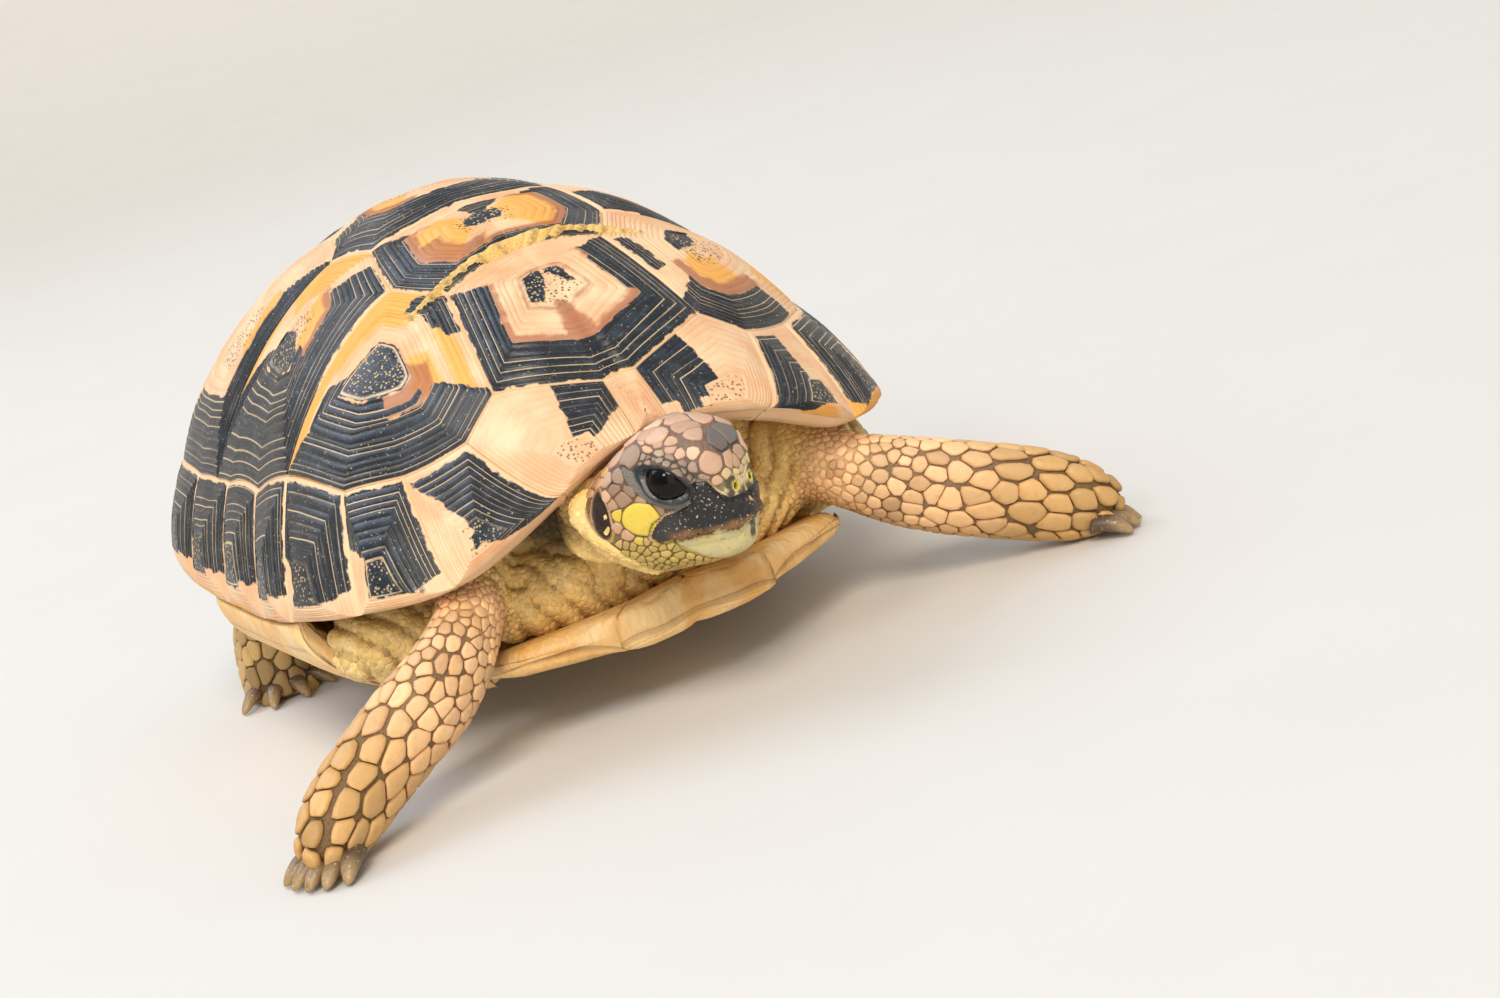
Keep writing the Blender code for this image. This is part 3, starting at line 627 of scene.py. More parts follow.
# Markings of the plates by name; a right plate reads its own row first, then the left one's.
MARKS = {
    "vertebral_1": (Fan(B, 0, 119, 0.60, 0.985), Fan(B, 78, 24, 0.53, 0.7), Fan(B, -105, 80, 0.0, 0.24),
                    Fan(B, 95, 40, 0.14, 0.24), Fan(R, 0, 180, 0.28, 0.31), Fan(R, 0, 122, 0.54, 0.64),
                    Fan(R, 0, 13, 0.2, 0.8)),
    "vertebral_2": (Fan(B, 0, 127, 0.66, 0.975), Fan(B, 0, 180, -1, 0.17), Fan(B, 168, 30, 0.0, 0.6),
                    Fan(W, -92, 48, 0.16, 0.60), Fan(W, 86, 46, 0.16, 0.62), Fan(R, 0, 132, 0.56, 0.69),
                    Fan(R, -60, 40, 0.40, 0.62)),
    "vertebral_3": (Fan(B, -20, 75, 0.52, 0.97), Fan(B, 100, 40, 0.62, 0.95), Fan(B, 180, 30, 0.3, 0.7),
                    Fan(W, -80, 50, 0.2, 0.62), Fan(R, -70, 55, 0.42, 0.62), Fan(W, 100, 30, 0.2, 0.5)),
    "vertebral_4": (Fan(B, 0, 115, 0.55, 0.96), Fan(B, 180, 22, 0.0, 0.6), Fan(W, 0, 180, 0.2, 0.5),
                    Fan(R, 0, 110, 0.48, 0.6)),
    "vertebral_5": (Fan(B, 0, 105, 0.45, 0.95), Fan(B, 0, 180, -1, 0.16), Fan(W, 180, 70, 0.3, 1.0),
                    Fan(R, 0, 110, 0.36, 0.47)),
    "costal_left_1": (Fan(B, 58, 36, 0.60, 1.0), Fan(B, -70, 60, 0.05, 0.34), Fan(B, -20, 22, 0.74, 0.93),
                      Fan(W, 44, 38, 0.16, 0.48), Fan(R, 50, 48, 0.46, 0.62), Fan(W, 150, 40, 0.5, 1.1)),
    "costal_left_2": (Fan(B, 60, 62, 0.5, 1.0), Fan(B, -8, 40, 0.55, 0.96), Fan(W, 20, 50, 0.2, 0.5),
                      Fan(R, 20, 55, 0.44, 0.56), Fan(W, 170, 45, 0.6, 1.1), Fan(B, 110, 40, 0.2, 0.5)),
    "costal_left_3": (Fan(B, 50, 75, 0.48, 1.0), Fan(B, 60, 180, -1, 0.2), Fan(W, -10, 60, 0.22, 0.5),
                      Fan(W, 175, 40, 0.6, 1.1), Fan(R, 10, 60, 0.44, 0.54)),
    "costal_left_4": (Fan(B, 40, 80, 0.5, 1.0), Fan(W, 150, 50, 0.4, 1.1), Fan(B, 60, 180, -1, 0.22),
                      Fan(R, 20, 70, 0.46, 0.56)),
    "costal_right_1": (Fan(B, 94, 66, 0.50, 1.0), Fan(B, 132, 50, 0.30, 0.62), Fan(B, 70, 30, 0.40, 0.46),
                       Fan(B, -45, 21, 0.70, 0.965), Fan(B, -28, 18, 0.80, 0.97), Fan(W, -85, 30, 0.5, 1.1),
                       Fan(W, 170, 42, 0.66, 1.1), Fan(W, -130, 32, 0.55, 1.1), Fan(R, 34, 26, 0.28, 0.52),
                       Fan(W, 20, 26, 0.32, 0.6), Fan(W, 0, 30, 0.7, 0.9), Fan(B, 0, 180, -1, 0.29),
                       Fan(R, 80, 60, 0.29, 0.5)),
    "costal_right_2": (Fan(B, 4, 52, 0.50, 0.97), Fan(B, 100, 58, 0.30, 1.0), Fan(W, -6, 66, 0.14, 0.46),
                       Fan(R, 0, 62, 0.40, 0.52), Fan(W, -100, 40, 0.4, 1.1), Fan(B, 120, 60, 0.0, 0.3),
                       Fan(W, 175, 30, 0.75, 1.1)),
    "costal_right_3": (Fan(B, 30, 95, 0.46, 1.0), Fan(W, -20, 60, 0.2, 0.48), Fan(W, 175, 40, 0.65, 1.1),
                       Fan(R, 0, 62, 0.42, 0.5)),
    "marginal_right_1": (Fan(B, -62, 25, 0.32, 1.02),),
    "marginal_right_2": (Fan(B, -42, 60, 0.10, 0.93, -26), Fan(B, 0, 180, -1, 0.14)),
    "marginal_right_3": (Fan(B, -38, 66, 0.08, 0.955, -26), Fan(B, 0, 180, -1, 0.34)),
    "marginal_right_4": (Fan(B, -40, 70, 0.08, 0.955, -26), Fan(B, 0, 180, -1, 0.36)),
    "marginal_left_1": (Fan(B, -58, 33, 0.30, 1.02), Fan(B, -25, 14, 0.45, 0.75)),
    "marginal_left_2": (Fan(B, -34, 55, 0.08, 0.92, -22), Fan(B, 0, 180, -1, 0.3), Fan(W, 60, 60, 0.2, 1.2)),
    "marginal_left_3": (Fan(B, -36, 62, 0.08, 0.94, -20), Fan(B, 0, 180, -1, 0.3), Fan(W, 70, 70, 0.3, 1.2)),
}
MARGINAL_MARKS = (Fan(B, -36, 66, 0.05, 0.955, -24), Fan(B, 0, 180, -1, 0.34), Fan(W, 78, 34, 0.7, 1.2))
PLASTRON_MARKS = (Fan(B, 90, 40, 0.22, 0.72), Fan(B, -90, 40, 0.22, 0.72))


@dataclass
class Shell:
    """All 44 horn plates, each a closed slab with its growth rings in relief."""

    model: Model
    form: ShellForm = field(default_factory=ShellForm)
    plate: float = 4.5           # bone and horn together
    seam_gap: float = 0.03
    edge_round: float = 0.9      # width over which a plate's edge rolls down to its seam
    edge_drop: float = 0.42
    lip_drop: float = 3.2        # rounding of the plastron's free edge, and how far in it starts
    lip_round: float = 6.5
    lip_top: float = 4.6         # rounding of its upper side
    pleat: float = 0.55          # depth of the upright pleats in it
    # Seam corners as (bearing from the front in degrees, way from crown to edge).
    inner: tuple = ((2.5, 0.71), (23.8, 0.64), (34.0, 0.65), (44.8, 0.665), (61.3, 0.645),
                    (77.0, 0.69), (94.0, 0.70), (111.0, 0.70), (125.0, 0.70), (139.0, 0.70),
                    (152.0, 0.69), (166.0, 0.68), (180.0, 0.69))
    v1_flank: tuple = (18.1, 0.59)
    v12: tuple = (20.6, 0.365)
    v2_wide: tuple = (35.1, 0.313)
    v23: tuple = (49.5, 0.216)
    v3_wide: tuple = (83.0, 0.25)
    v34: tuple = (123.7, 0.185)
    v4_wide: tuple = (140.0, 0.262)
    v45: tuple = (161.6, 0.348)
    c23_foot: tuple = (101.0, 0.70)
    c34_foot: tuple = (131.0, 0.70)
    c4_foot: tuple = (155.5, 0.69)
    # Half outlines of the plastron's bands, as (girth from the midline, y).
    bands: tuple = (
        ("gular", ((0, -70.2), (8, -72.2), (17, -70.6), (0, -56))),
        ("humeral", ((0, -56), (17, -70.6), (28, -67), (37.5, -61.5), (40, -54), (39.5, -38), (0, -33))),
        ("pectoral", ((0, -33), (39.5, -38), (48, -35), (66, -27), (66, -12), (40, -17), (0, -25))),
        ("abdominal", ((0, -25), (40, -17), (66, -12), (66, 25), (50, 31), (39.5, 30), (0, 20))),
        ("femoral", ((0, 20), (39.5, 30), (37.5, 37), (32.5, 46), (0, 44))),
        ("anal", ((0, 44), (32.5, 46), (28, 57), (22, 65), (13, 69), (0, 62))))
    lip_thick: float = 9.5
    plastron_thick: float = 5.0

    def on_disk(self, corner: tuple[float, float], side: int = 1) -> tuple[float, float]:
        """Disk place of a seam corner given as (bearing in degrees, way)."""
        bearing = math.radians(corner[0]) * side
        return corner[1] * math.sin(bearing), -corner[1] * math.cos(bearing)

    def carapace(self) -> list[Scute]:
        """Every scute of the carapace.

        Returns:
            The 38 scutes, midline first.
        """
        def both(*corners: tuple) -> tuple:
            """A midline polygon closed by its mirror image."""
            other = [c for c in reversed(corners) if c[0] < 180]
            return (*[self.on_disk(c) for c in corners], *[self.on_disk(c, -1) for c in other])

        rims, inner = self.form.rims, self.inner
        midline = [("nuchal", both(rims[1], inner[0]), (0, 0.86)),
                   ("vertebral_1", both(inner[0], self.v1_flank, self.v12), (1, 0.455)),
                   ("vertebral_2", both(self.v12, self.v2_wide, self.v23), (1, 0.245)),
                   ("vertebral_3", both(self.v23, self.v3_wide, self.v34), (178, 0.045)),
                   ("vertebral_4", both(self.v34, self.v4_wide, self.v45), (179, 0.25)),
                   ("vertebral_5", both(self.v45, self.c4_foot, inner[11], inner[12]), (180, 0.53))]
        plates = [Scute(word, corners, self.on_disk(spot, -1), MARKS.get(word, ()), 11 + k)
                  for k, (word, corners, spot) in enumerate(midline)]
        costals = [(self.v1_flank, *inner[1:5], self.v2_wide, self.v12),
                   (*inner[4:7], self.c23_foot, self.v3_wide, self.v23, self.v2_wide),
                   (self.c23_foot, *inner[7:9], self.c34_foot, self.v4_wide, self.v34, self.v3_wide),
                   (self.c34_foot, *inner[9:11], self.c4_foot, self.v45, self.v4_wide)]
        spots = [(37.0, 0.46), (70.0, 0.40), (110.0, 0.42), (146.0, 0.45)]
        shared = {1: [self.v1_flank], 7: [self.c23_foot], 9: [self.c34_foot], 11: [self.c4_foot]}
        for side, word in ((1, "left"), (-1, "right")):
            for n, (corners, spot) in enumerate(zip(costals, spots), 1):
                name = f"costal_{word}_{n}"
                marks = MARKS.get(name, MARKS.get(f"costal_left_{n}"))
                plates.append(Scute(name, tuple(self.on_disk(c, side) for c in corners),
                                    self.on_disk(spot, side), marks, 40 * side + n + 50, rings=13))
            for n in range(1, 13):
                name = f"marginal_{word}_{n}" if n < 12 else f"supracaudal_{word}"
                corners = [rims[n], rims[n + 1], *reversed([inner[n - 1], *shared.get(n, []), inner[n]])]
                if n == 12:
                    corners = [rims[12], rims[13], inner[12], inner[11]]
                spot = (rims[n][0] * 0.3 + rims[n + 1][0] * 0.7, 0.87)
                plates.append(Scute(name, tuple(self.on_disk(c, side) for c in corners),
                                    self.on_disk(spot, side), MARKS.get(name, MARGINAL_MARKS),
                                    30 * side + n + 90, rings=9, spot_share=0.3, spacing=0.9,
                                    sharp=0.85, relief=0.22, pitted=0.8))
        return plates

    def plastron(self) -> list[Scute]:
        """The six bands of the plastron.

        Returns:
            The scutes, front to rear.
        """
        plates = []
        for k, (word, half) in enumerate(self.bands):
            other = [(-a, y) for a, y in reversed(half) if a > 0]
            middle = sum(y for _, y in half) / len(half)
            marks = () if word in ("gular",) else PLASTRON_MARKS
            plates.append(Scute(f"plastron_{word}", (*half, *other), (0.01, middle), marks, 150 + k,
                                rings=8, spot_share=0.2, spacing=1.8, relief=0.08, lift=0.0, pitted=0.0))
        return plates

    def outline(self, scute: Scute, face: Surface) -> tuple[Array, Array]:
        """Even steps along a scute's outline.

        Args:
            scute: the plate.
            face: the surface it lies on.
        Returns:
            The outline's places on the surface's own map, and whether each is on a free edge.
        """
        places, free = [], []
        for (p0, q0), (p1, q1) in zip(scute.corners, scute.corners[1:] + scute.corners[:1]):
            on_rim = face.limit < 2 and min(math.hypot(p0, q0), math.hypot(p1, q1)) > 0.999
            loose = on_rim or face.limit > 2 and self.unshared((p0 + p1) / 2, (q0 + q1) / 2)
            ends = face.at(np.array([p0, p1]), np.array([q0, q1]))
            steps = max(2, round(float(np.linalg.norm(ends[1] - ends[0])) / scute.spacing))
            for i in range(steps):
                p, q = p0 + (p1 - p0) * i / steps, q0 + (q1 - q0) * i / steps
                reach = math.hypot(p, q) if on_rim else 1.0
                places.append((p / reach, q / reach))
                free.append(loose)
        return np.array(places), np.array(free)

    def unshared(self, a: float, y: float) -> bool:
        """Whether a place on a plastron seam is on its free edge.

        Args:
            a: girth from the midline.
            y: place along the animal.
        Returns:
            Whether it belongs to one band only.
        """
        spot = np.array([abs(a)]), np.array([y])
        touching = [abs(polygon_depth(*spot, half)[0]) < 0.01 for _, half in self.bands]
        return sum(touching) == 1 and 0.1 < abs(a) < 65.9

    def ring_plan(self, scute: Scute) -> tuple[Array, Array]:
        """Where the rows of points lie from the oldest spot to the seam.

        Args:
            scute: the plate.
        Returns:
            For each row its growth, in rings, and its share of the way.
        """
        rng = np.random.default_rng(scute.seed)
        widths = rng.uniform(0.65, 1.35, scute.rings) * np.linspace(1.15, 0.8, scute.rings)
        marks = scute.spot_share + (1 - scute.spot_share) * np.r_[0, np.cumsum(widths) / widths.sum()]
        growth = np.r_[np.linspace(0.12, 0.85, 6), (1 + np.arange(scute.rings)[:, None]
                                                    + np.array([0, 0.1, 0.26, 0.5, 0.74, 0.9])).ravel(),
                       scute.rings + 1.0]
        share = np.interp(growth, np.r_[0, 1 + np.arange(scute.rings + 1)], np.r_[0, marks])
        return growth, share

    def slab(self, scute: Scute, face: Surface, thickness: object) -> tuple[Array, Array, dict]:
        """Points, faces and layers of one plate.

        Args:
            scute: the plate.
            face: the surface it lies on.
            thickness: gives the slab's depth at places on the surface's map.
        Returns:
            Points in millimetres, faces as point numbers, and layers by name.
        """
        ends, free = self.outline(scute, face)
        growth, share = self.ring_plan(scute)
        count = len(ends)
        smooth = ends.copy()
        for _ in range(max(2, count // 9)):
            smooth = (np.roll(smooth, 1, 0) + smooth * 2 + np.roll(smooth, -1, 0)) / 4
        keep = ease(0.25, 0.98, share)[:, None, None] * (1 - scute.sharp) + scute.sharp
        spot = np.array(scute.spot)
        rays = smooth[None] * (1 - keep) + ends[None] * keep - spot
        angle = np.arange(count) / count * 2 * math.pi
        sway = sum(np.sin(angle * k + scute.seed * k) / k for k in (2, 3, 5, 9))
        wob = 0.012 * sway[None, :] * (np.sin(growth[:, None] * 1.3) * share[:, None]
                                       * (1 - share[:, None]) * 4)
        way = (share[:, None] + wob)[..., None]
        p, q = np.moveaxis(spot + rays * way, -1, 0)
        base = face.at(p.ravel(), q.ravel()).reshape(*p.shape, 3)
        normal = face.normal(p.ravel(), q.ravel()).reshape(*p.shape, 3)
        centre = face.at(spot[:1], spot[1:])[0]
        up = face.normal(spot[:1], spot[1:])[0]
        rim = base[-1]
        left = np.linalg.norm(rim[None] - base, axis=-1)
        length = np.linalg.norm(rim - centre, axis=-1)
        # Relief: each ring is a low ridge between fine grooves.
        phase = growth % 1
        ridge = np.where(growth >= 1, np.sin(np.clip(phase, 0, 1) * math.pi) ** 0.55, 0.55)
        uneven = 1 + 0.5 * noise(base.reshape(-1, 3), 7.0, scute.seed).reshape(p.shape)
        relief = scute.relief * (ridge[:, None] - 0.6) * uneven
        lift = scute.lift * (1 - share[:, None] ** 2)
        loose = free.astype(float)
        for _ in range(6):
            loose = (np.roll(loose, 1) + loose * 2 + np.roll(loose, -1)) / 4
        lip = loose * (self.lip_drop if face.limit > 2 else 0)
        drop = self.edge_drop * ease(self.edge_round, 0, left) ** 1.5
        drop = drop + lip * (1 - np.sqrt(1 - np.clip(1 - left / self.lip_round, 0, 1) ** 2))
        outer = base + normal * (lift + relief * ease(0, 0.5, left) - drop)[..., None]
        inward = unit(centre - rim - ((centre - rim) * normal[-1]).sum(-1, keepdims=True) * normal[-1])
        outer[-1] += inward * self.seam_gap
        pleats = np.abs(noise(rim, 3.4, 77, 1))[:, None] * self.pleat * loose[:, None] * (face.limit > 2)
        # The wall under the edge bulges where the edge is free.
        deep = thickness(p[-1], q[-1])[:, None]
        walls = []
        start = self.edge_drop + lip[:, None]
        fillet = self.lip_top * loose[:, None] * (face.limit > 2)
        for f, bulge in ((0.12, 0.28), (0.35, 0.55), (0.65, 0.6), (1.0, 0.35)):
            out = bulge * loose[:, None] * deep / 9
            walls.append(rim - normal[-1] * (start + (deep - 0.8 * fillet - start) * f)
                         + inward * (self.seam_gap + pleats - out * (1 if f < 1 or face.limit < 2 else 0)))
        for turn in (0.4, 0.8, 1.15):
            walls.append(rim - normal[-1] * (deep - 0.8 * fillet * (1 - math.sin(turn)))
                         + inward * (self.seam_gap + fillet * (1 - math.cos(turn))))
        under = []
        for f in (1.0, 0.7, 0.4):
            pp, qq = (spot + (ends - spot) * f).T
            under.append(face.at(pp, qq) - face.normal(pp, qq) * thickness(pp, qq)[:, None]
                         + (inward * (self.seam_gap + fillet) if f == 1 else 0))
        low = centre - up * thickness(spot[:1], spot[1:])
        rows = [outer.reshape(-1, 3), *walls, *under]
        points = np.concatenate([centre[None] + up * scute.lift, *rows, low.reshape(1, 3)])
        total = len(growth) + len(walls) + len(under)
        # Compass of each spoke, from the front.
        flat = rim - centre - ((rim - centre) @ up)[:, None] * up
        ahead, aside = self.compass(scute, face, centre, up)
        compass = np.degrees(np.arctan2(flat @ aside, flat @ ahead))
        layers = self.pigments(scute, share, compass, np.linalg.norm(base - centre, axis=-1), length)
        values = {"growth": np.repeat(growth[:, None], count, 1), "seam": left, **layers}
        values["plate"] = np.full_like(left, scute.seed % 97)
        values["pitted"] = scute.pitted * ease(scute.spot_share * 1.02, scute.spot_share * 0.9,
                                               np.repeat(share[:, None], count, 1))
        filled = {}
        for word, grid in values.items():
            tail = np.repeat(grid[-1:], len(walls) + len(under), 0)
            if word == "seam":
                tail = np.full_like(tail, 9.0)
            if word in ("black", "warm", "rust"):
                tail = np.where(loose[None] > 0.3, np.minimum(tail, -3.0), tail)
            filled[word] = np.r_[grid[0].mean(), grid.ravel(), tail.ravel(), tail[-1].mean()]
        faces = (strip_faces(total, count) + 1).tolist()
        faces += cap_faces(1, count, 0, True)
        faces += cap_faces(1 + (total - 1) * count, count, len(points) - 1)
        return points, faces, filled

    def compass(self, scute: Scute, face: Surface, centre: Array, up: Array) -> tuple[Array, Array]:
        """Unit vectors to the front and to the side of a plate, in its own plane.

        Args:
            scute: the plate.
            face: the surface it lies on.
            centre: its oldest spot.
            up: the normal there.
        Returns:
            The way to the front and the way to the side.
        """
        if scute.name.startswith(("costal", "marginal", "supra")):
            p, q = np.array(scute.spot) * 0.99
            aside = centre - face.at(np.array([p]), np.array([q]))[0]
        else:
            aside = np.array([1.0, 0, 0])
        aside = unit(aside - up * (aside @ up))
        ahead = np.cross(up, aside)
        bearing = math.atan2(scute.spot[0], -scute.spot[1])
        toward = np.array([-math.copysign(1, bearing) * math.cos(bearing), -math.sin(abs(bearing)), 0])
        if abs(scute.spot[0]) < 0.05 or scute.name.startswith("plastron"):
            toward = np.array([0, -1.0, 0])
        return (ahead if ahead @ toward > 0 else -ahead), aside

    def pigments(self, scute: Scute, share: Array, compass: Array, reach: Array,
                 length: Array) -> dict[str, Array]:
        """Depth of each pigment at every point, in millimetres, from the plate's fans.

        Args:
            scute: the plate.
            share: share of the way of each row of points.
            compass: bearing of each spoke, in degrees.
            reach: distance of each point from the spot.
            length: length of each spoke.
        Returns:
            One grid of depths for each pigment's layer.
        """
        grown = np.repeat(share[:, None], len(compass), 1)
        out = {kind.value: np.full(grown.shape, -3.0) for kind in Pigment}
        for fan in scute.marks:
            depth = fan.depth(grown, compass[None], reach, length[None])
            out[fan.pigment.value] = np.maximum(out[fan.pigment.value], np.clip(depth, -3, 3))
        return out

    def build(self) -> None:
        """Make every plate in place of its solid."""
        horn, waxy = ScuteHorn().make(), PlastronHorn().make()
        dome = Surface(self.form.dome, 0.004, (0, self.form.crown_y, 10), 1.0)
        for scute in self.carapace():
            made = self.slab(scute, dome, lambda p, q: np.full(np.shape(p), self.plate))
            settle(self.model.piece(f"horn_{scute.name}", *made[:2], horn, made[2]), "scute_horn",
                   scute.name)
        belly = Surface(self.form.belly, 0.3, (0, 0, 30), 1e9)
        for scute in self.plastron():
            made = self.slab(scute, belly, self.plastron_depth)
            settle(self.model.piece(f"horn_{scute.name}", *made[:2], waxy, made[2]), "plastron_horn",
                   scute.name)

    def plastron_depth(self, a: Array, y: Array) -> Array:
        """Thickness of the plastron; the gular lip in front is the thickest.

        Args:
            a: girth from the midline.
            y: places along the animal.
        Returns:
            Thickness in millimetres.
        """
        lip = ease(-52.0, self.form.lobe_front, y)
        flank = 1.0 * (np.abs(a) > self.form.plastron_flat)
        return self.plastron_thick + (self.lip_thick - self.plastron_thick) * lip * (
            1 - np.minimum(np.abs(a) / 50, 1)) - flank


# ---- skin and scales --------------------------------------------------------
def normals_of(points: Array, faces: Array) -> Array:
    """Unit normals at the points of a mesh of four-sided faces.

    Args:
        points: places in millimetres, three to a row.
        faces: four point numbers for each face.
    Returns:
        One unit vector for each point.
    """
    across = np.cross(points[faces[:, 2]] - points[faces[:, 0]], points[faces[:, 3]] - points[faces[:, 1]])
    total = np.zeros_like(points)
    for k in range(4):
        np.add.at(total, faces[:, k], across)
    return unit(total)


def outward(points: Array, faces: Array) -> Array:
    """The faces, turned about where the closed shape that they make is inside out.

    Args:
        points: places in millimetres, three to a row.
        faces: four point numbers for each face.
    Returns:
        The faces, with their outsides out.
    """
    a, b, c, d = (points[faces[:, k]] for k in range(4))
    volume = (np.cross(b - a, c - a) * a).sum() + (np.cross(c - a, d - a) * a).sum()
    return faces if volume > 0 else faces[:, ::-1]


def relaxed(points: Array, faces: Array, passes: int, share: float = 0.5) -> Array:
    """Points drawn towards the middle of their neighbours, pass after pass.

    Args:
        points: places in millimetres, three to a row.
        faces: four point numbers for each face.
        passes: how often they are drawn in.
        share: how far they go in one pass.
    Returns:
        The new places.
    """
    pairs = np.concatenate([faces[:, [k, (k + 1) % 4]] for k in range(4)])
    count = np.maximum(np.bincount(pairs[:, 0], minlength=len(points)), 1)[:, None]
    for _ in range(passes):
        total = np.stack([np.bincount(pairs[:, 0], points[pairs[:, 1], k], len(points))
                          for k in range(3)], -1)
        points = points + (total / count - points) * share
    return points


def melted(shells: list[tuple[Array, list]], voxel: float) -> tuple[Array, Array]:
    """Unite closed shells into one even mesh.

    Args:
        shells: points in millimetres and faces of each shell.
        voxel: width of a face, in millimetres.
    Returns:
        Points and four-sided faces.
    """
    points, faces = [], []
    for places, corners in shells:
        faces += [[k + len(points) for k in face] for face in corners]
        points += np.asarray(places).tolist()
    mesh = bpy.data.meshes.new("melt")
    mesh.from_pydata(points, [], faces)
    body = bpy.data.objects.new("melt", mesh)
    bpy.context.scene.collection.objects.link(body)
    change = body.modifiers.new("voxels", "REMESH")
    change.mode, change.voxel_size = "VOXEL", voxel
    result = body.evaluated_get(bpy.context.evaluated_depsgraph_get()).to_mesh()
    places = np.empty(len(result.vertices) * 3, np.float32)
    result.vertices.foreach_get("co", places)
    corners = np.empty(len(result.loops), np.int32)
    result.loops.foreach_get("vertex_index", corners)
    bpy.data.objects.remove(body)
    bpy.data.meshes.remove(mesh)
    return places.reshape(-1, 3).astype(float), corners.reshape(-1, 4)


def polygon_depth(p: Array, q: Array, corners: tuple) -> Array:
    """How deep inside a flat polygon each place lies; negative outside.

    Args:
        p: first coordinates of the places.
        q: their second coordinates.
        corners: the polygon's corners, in order.
    Returns:
        Depth of each place, in the units of p.
    """
    best = np.full(np.shape(p), 1e9)
    inside = np.zeros(np.shape(p), bool)
    for (p0, q0), (p1, q1) in zip(corners, corners[1:] + corners[:1]):
        dp, dq = p1 - p0, q1 - q0
        along = np.clip(((p - p0) * dp + (q - q0) * dq) / (dp * dp + dq * dq), 0, 1)
        best = np.minimum(best, np.hypot(p - p0 - along * dp, q - q0 - along * dq))
        cross = (q0 > q) != (q1 > q)
        inside ^= cross & (p < p0 + (q - q0) * dp / (dq if abs(dq) > 1e-9 else 1e-9))
    return np.where(inside, best, -best)


def tint(code: str) -> Array:
    """A hex colour as three linear numbers."""
    return np.array(linear(code)[:3])


def brush(colour: Array, share: Array, code: str) -> Array:
    """Colours with one more laid over them by a share for each place."""
    share = np.clip(share, 0, 1)[:, None]
    return colour * (1 - share) + tint(code) * share


@dataclass(frozen=True)
class Skin:
    """Thin folded reptile skin: matt, leathery, finely pleated between its scales."""

    wet: float = 0.30            # roughness where wet and where dry
    dry: float = 0.58
    shade: str = "#8A6434"
    spot: str = "#3E2A18"

    def make(self) -> bpy.types.Material:
        """Build the material from the paint and wet layers of a skin.

        Returns:
            The material.
        """
        material, t, noise_of = begin("reptile_skin")
        paint = add(t, "Attribute", out="Color", attribute_name="paint")
        wet = add(t, "Attribute", out="Fac", attribute_name="wet")
        broad = add(t, "TexNoise", {**noise_of, "Scale": 1 / (5.0 * MM)})
        spots = add(t, "TexNoise", {**noise_of, "Scale": 1 / (1.8 * MM), "Detail": 5.0, "Roughness": 0.7})
        fine = add(t, "TexNoise", {**noise_of, "Scale": 1 / (0.7 * MM), "Detail": 4.0})
        cells = add(t, "TexVoronoi", {"Vector": noise_of["Vector"], "Scale": 1 / (0.55 * MM)})
        colour = layered(t, paint, (broad, 0.55, 0.8, 0.2, self.shade), (spots, 0.6, 0.74, 0.25, self.spot))
        rough = add(t, "Math", (wet, self.wet - self.dry, self.dry), operation="MULTIPLY_ADD")
        # Wet skin round the eyes is smooth; elsewhere creases part small cells.
        dry = add(t, "Math", (1.0, wet), operation="SUBTRACT")
        creases = add(t, "MapRange", (cells, 0.1, 0.6), interpolation_type="SMOOTHSTEP")
        creases = add(t, "Math", (creases, dry), operation="MULTIPLY")
        fine = add(t, "Math", (fine, dry), operation="MULTIPLY")
        return finished(material, colour, rough, ((creases, -0.10), (fine, 0.14)), IOR=1.45)


@dataclass(frozen=True)
class Scales:
    """Small keratin scales: satin on top, with dirt lodged round their feet."""

    cloud: str = "#8A6238"
    dirt: str = "#3A2614"

    def make(self) -> bpy.types.Material:
        """Build the material from the paint and rim layers of a coat; paint's alpha is its dirt.

        Returns:
            The material.
        """
        material, t, noise_of = begin("keratin_scales")
        paint = add(t, "Attribute", out="node", attribute_name="paint").outputs
        rim = add(t, "Attribute", out="Fac", attribute_name="rim")
        cloud = add(t, "TexNoise", {**noise_of, "Scale": 1 / (1.4 * MM), "Detail": 4.0})
        fine = add(t, "TexNoise", {**noise_of, "Scale": 1 / (0.6 * MM), "Detail": 5.0, "Roughness": 0.65})
        grit = add(t, "TexNoise", {**noise_of, "Scale": 1 / (0.25 * MM)})
        colour = layered(t, paint["Color"], (cloud, 0.5, 0.75, 0.22, self.cloud))
        rim = add(t, "Math", (fine, 0.5, rim), operation="MULTIPLY_ADD")
        dirt = add(t, "MapRange", (rim, 0.67, 1.25, 0.0, 0.88), interpolation_type="SMOOTHSTEP")
        dirt = add(t, "Math", (dirt, paint["Alpha"]), operation="MULTIPLY")
        colour = add(t, "Mix", {0: dirt, 6: colour, 7: linear(self.dirt)}, out=2, data_type="RGBA")
        rough = add(t, "Math", (fine, 0.22, 0.36), operation="MULTIPLY_ADD")
        return finished(material, colour, rough, ((fine, 0.07), (grit, 0.02)), IOR=1.5)


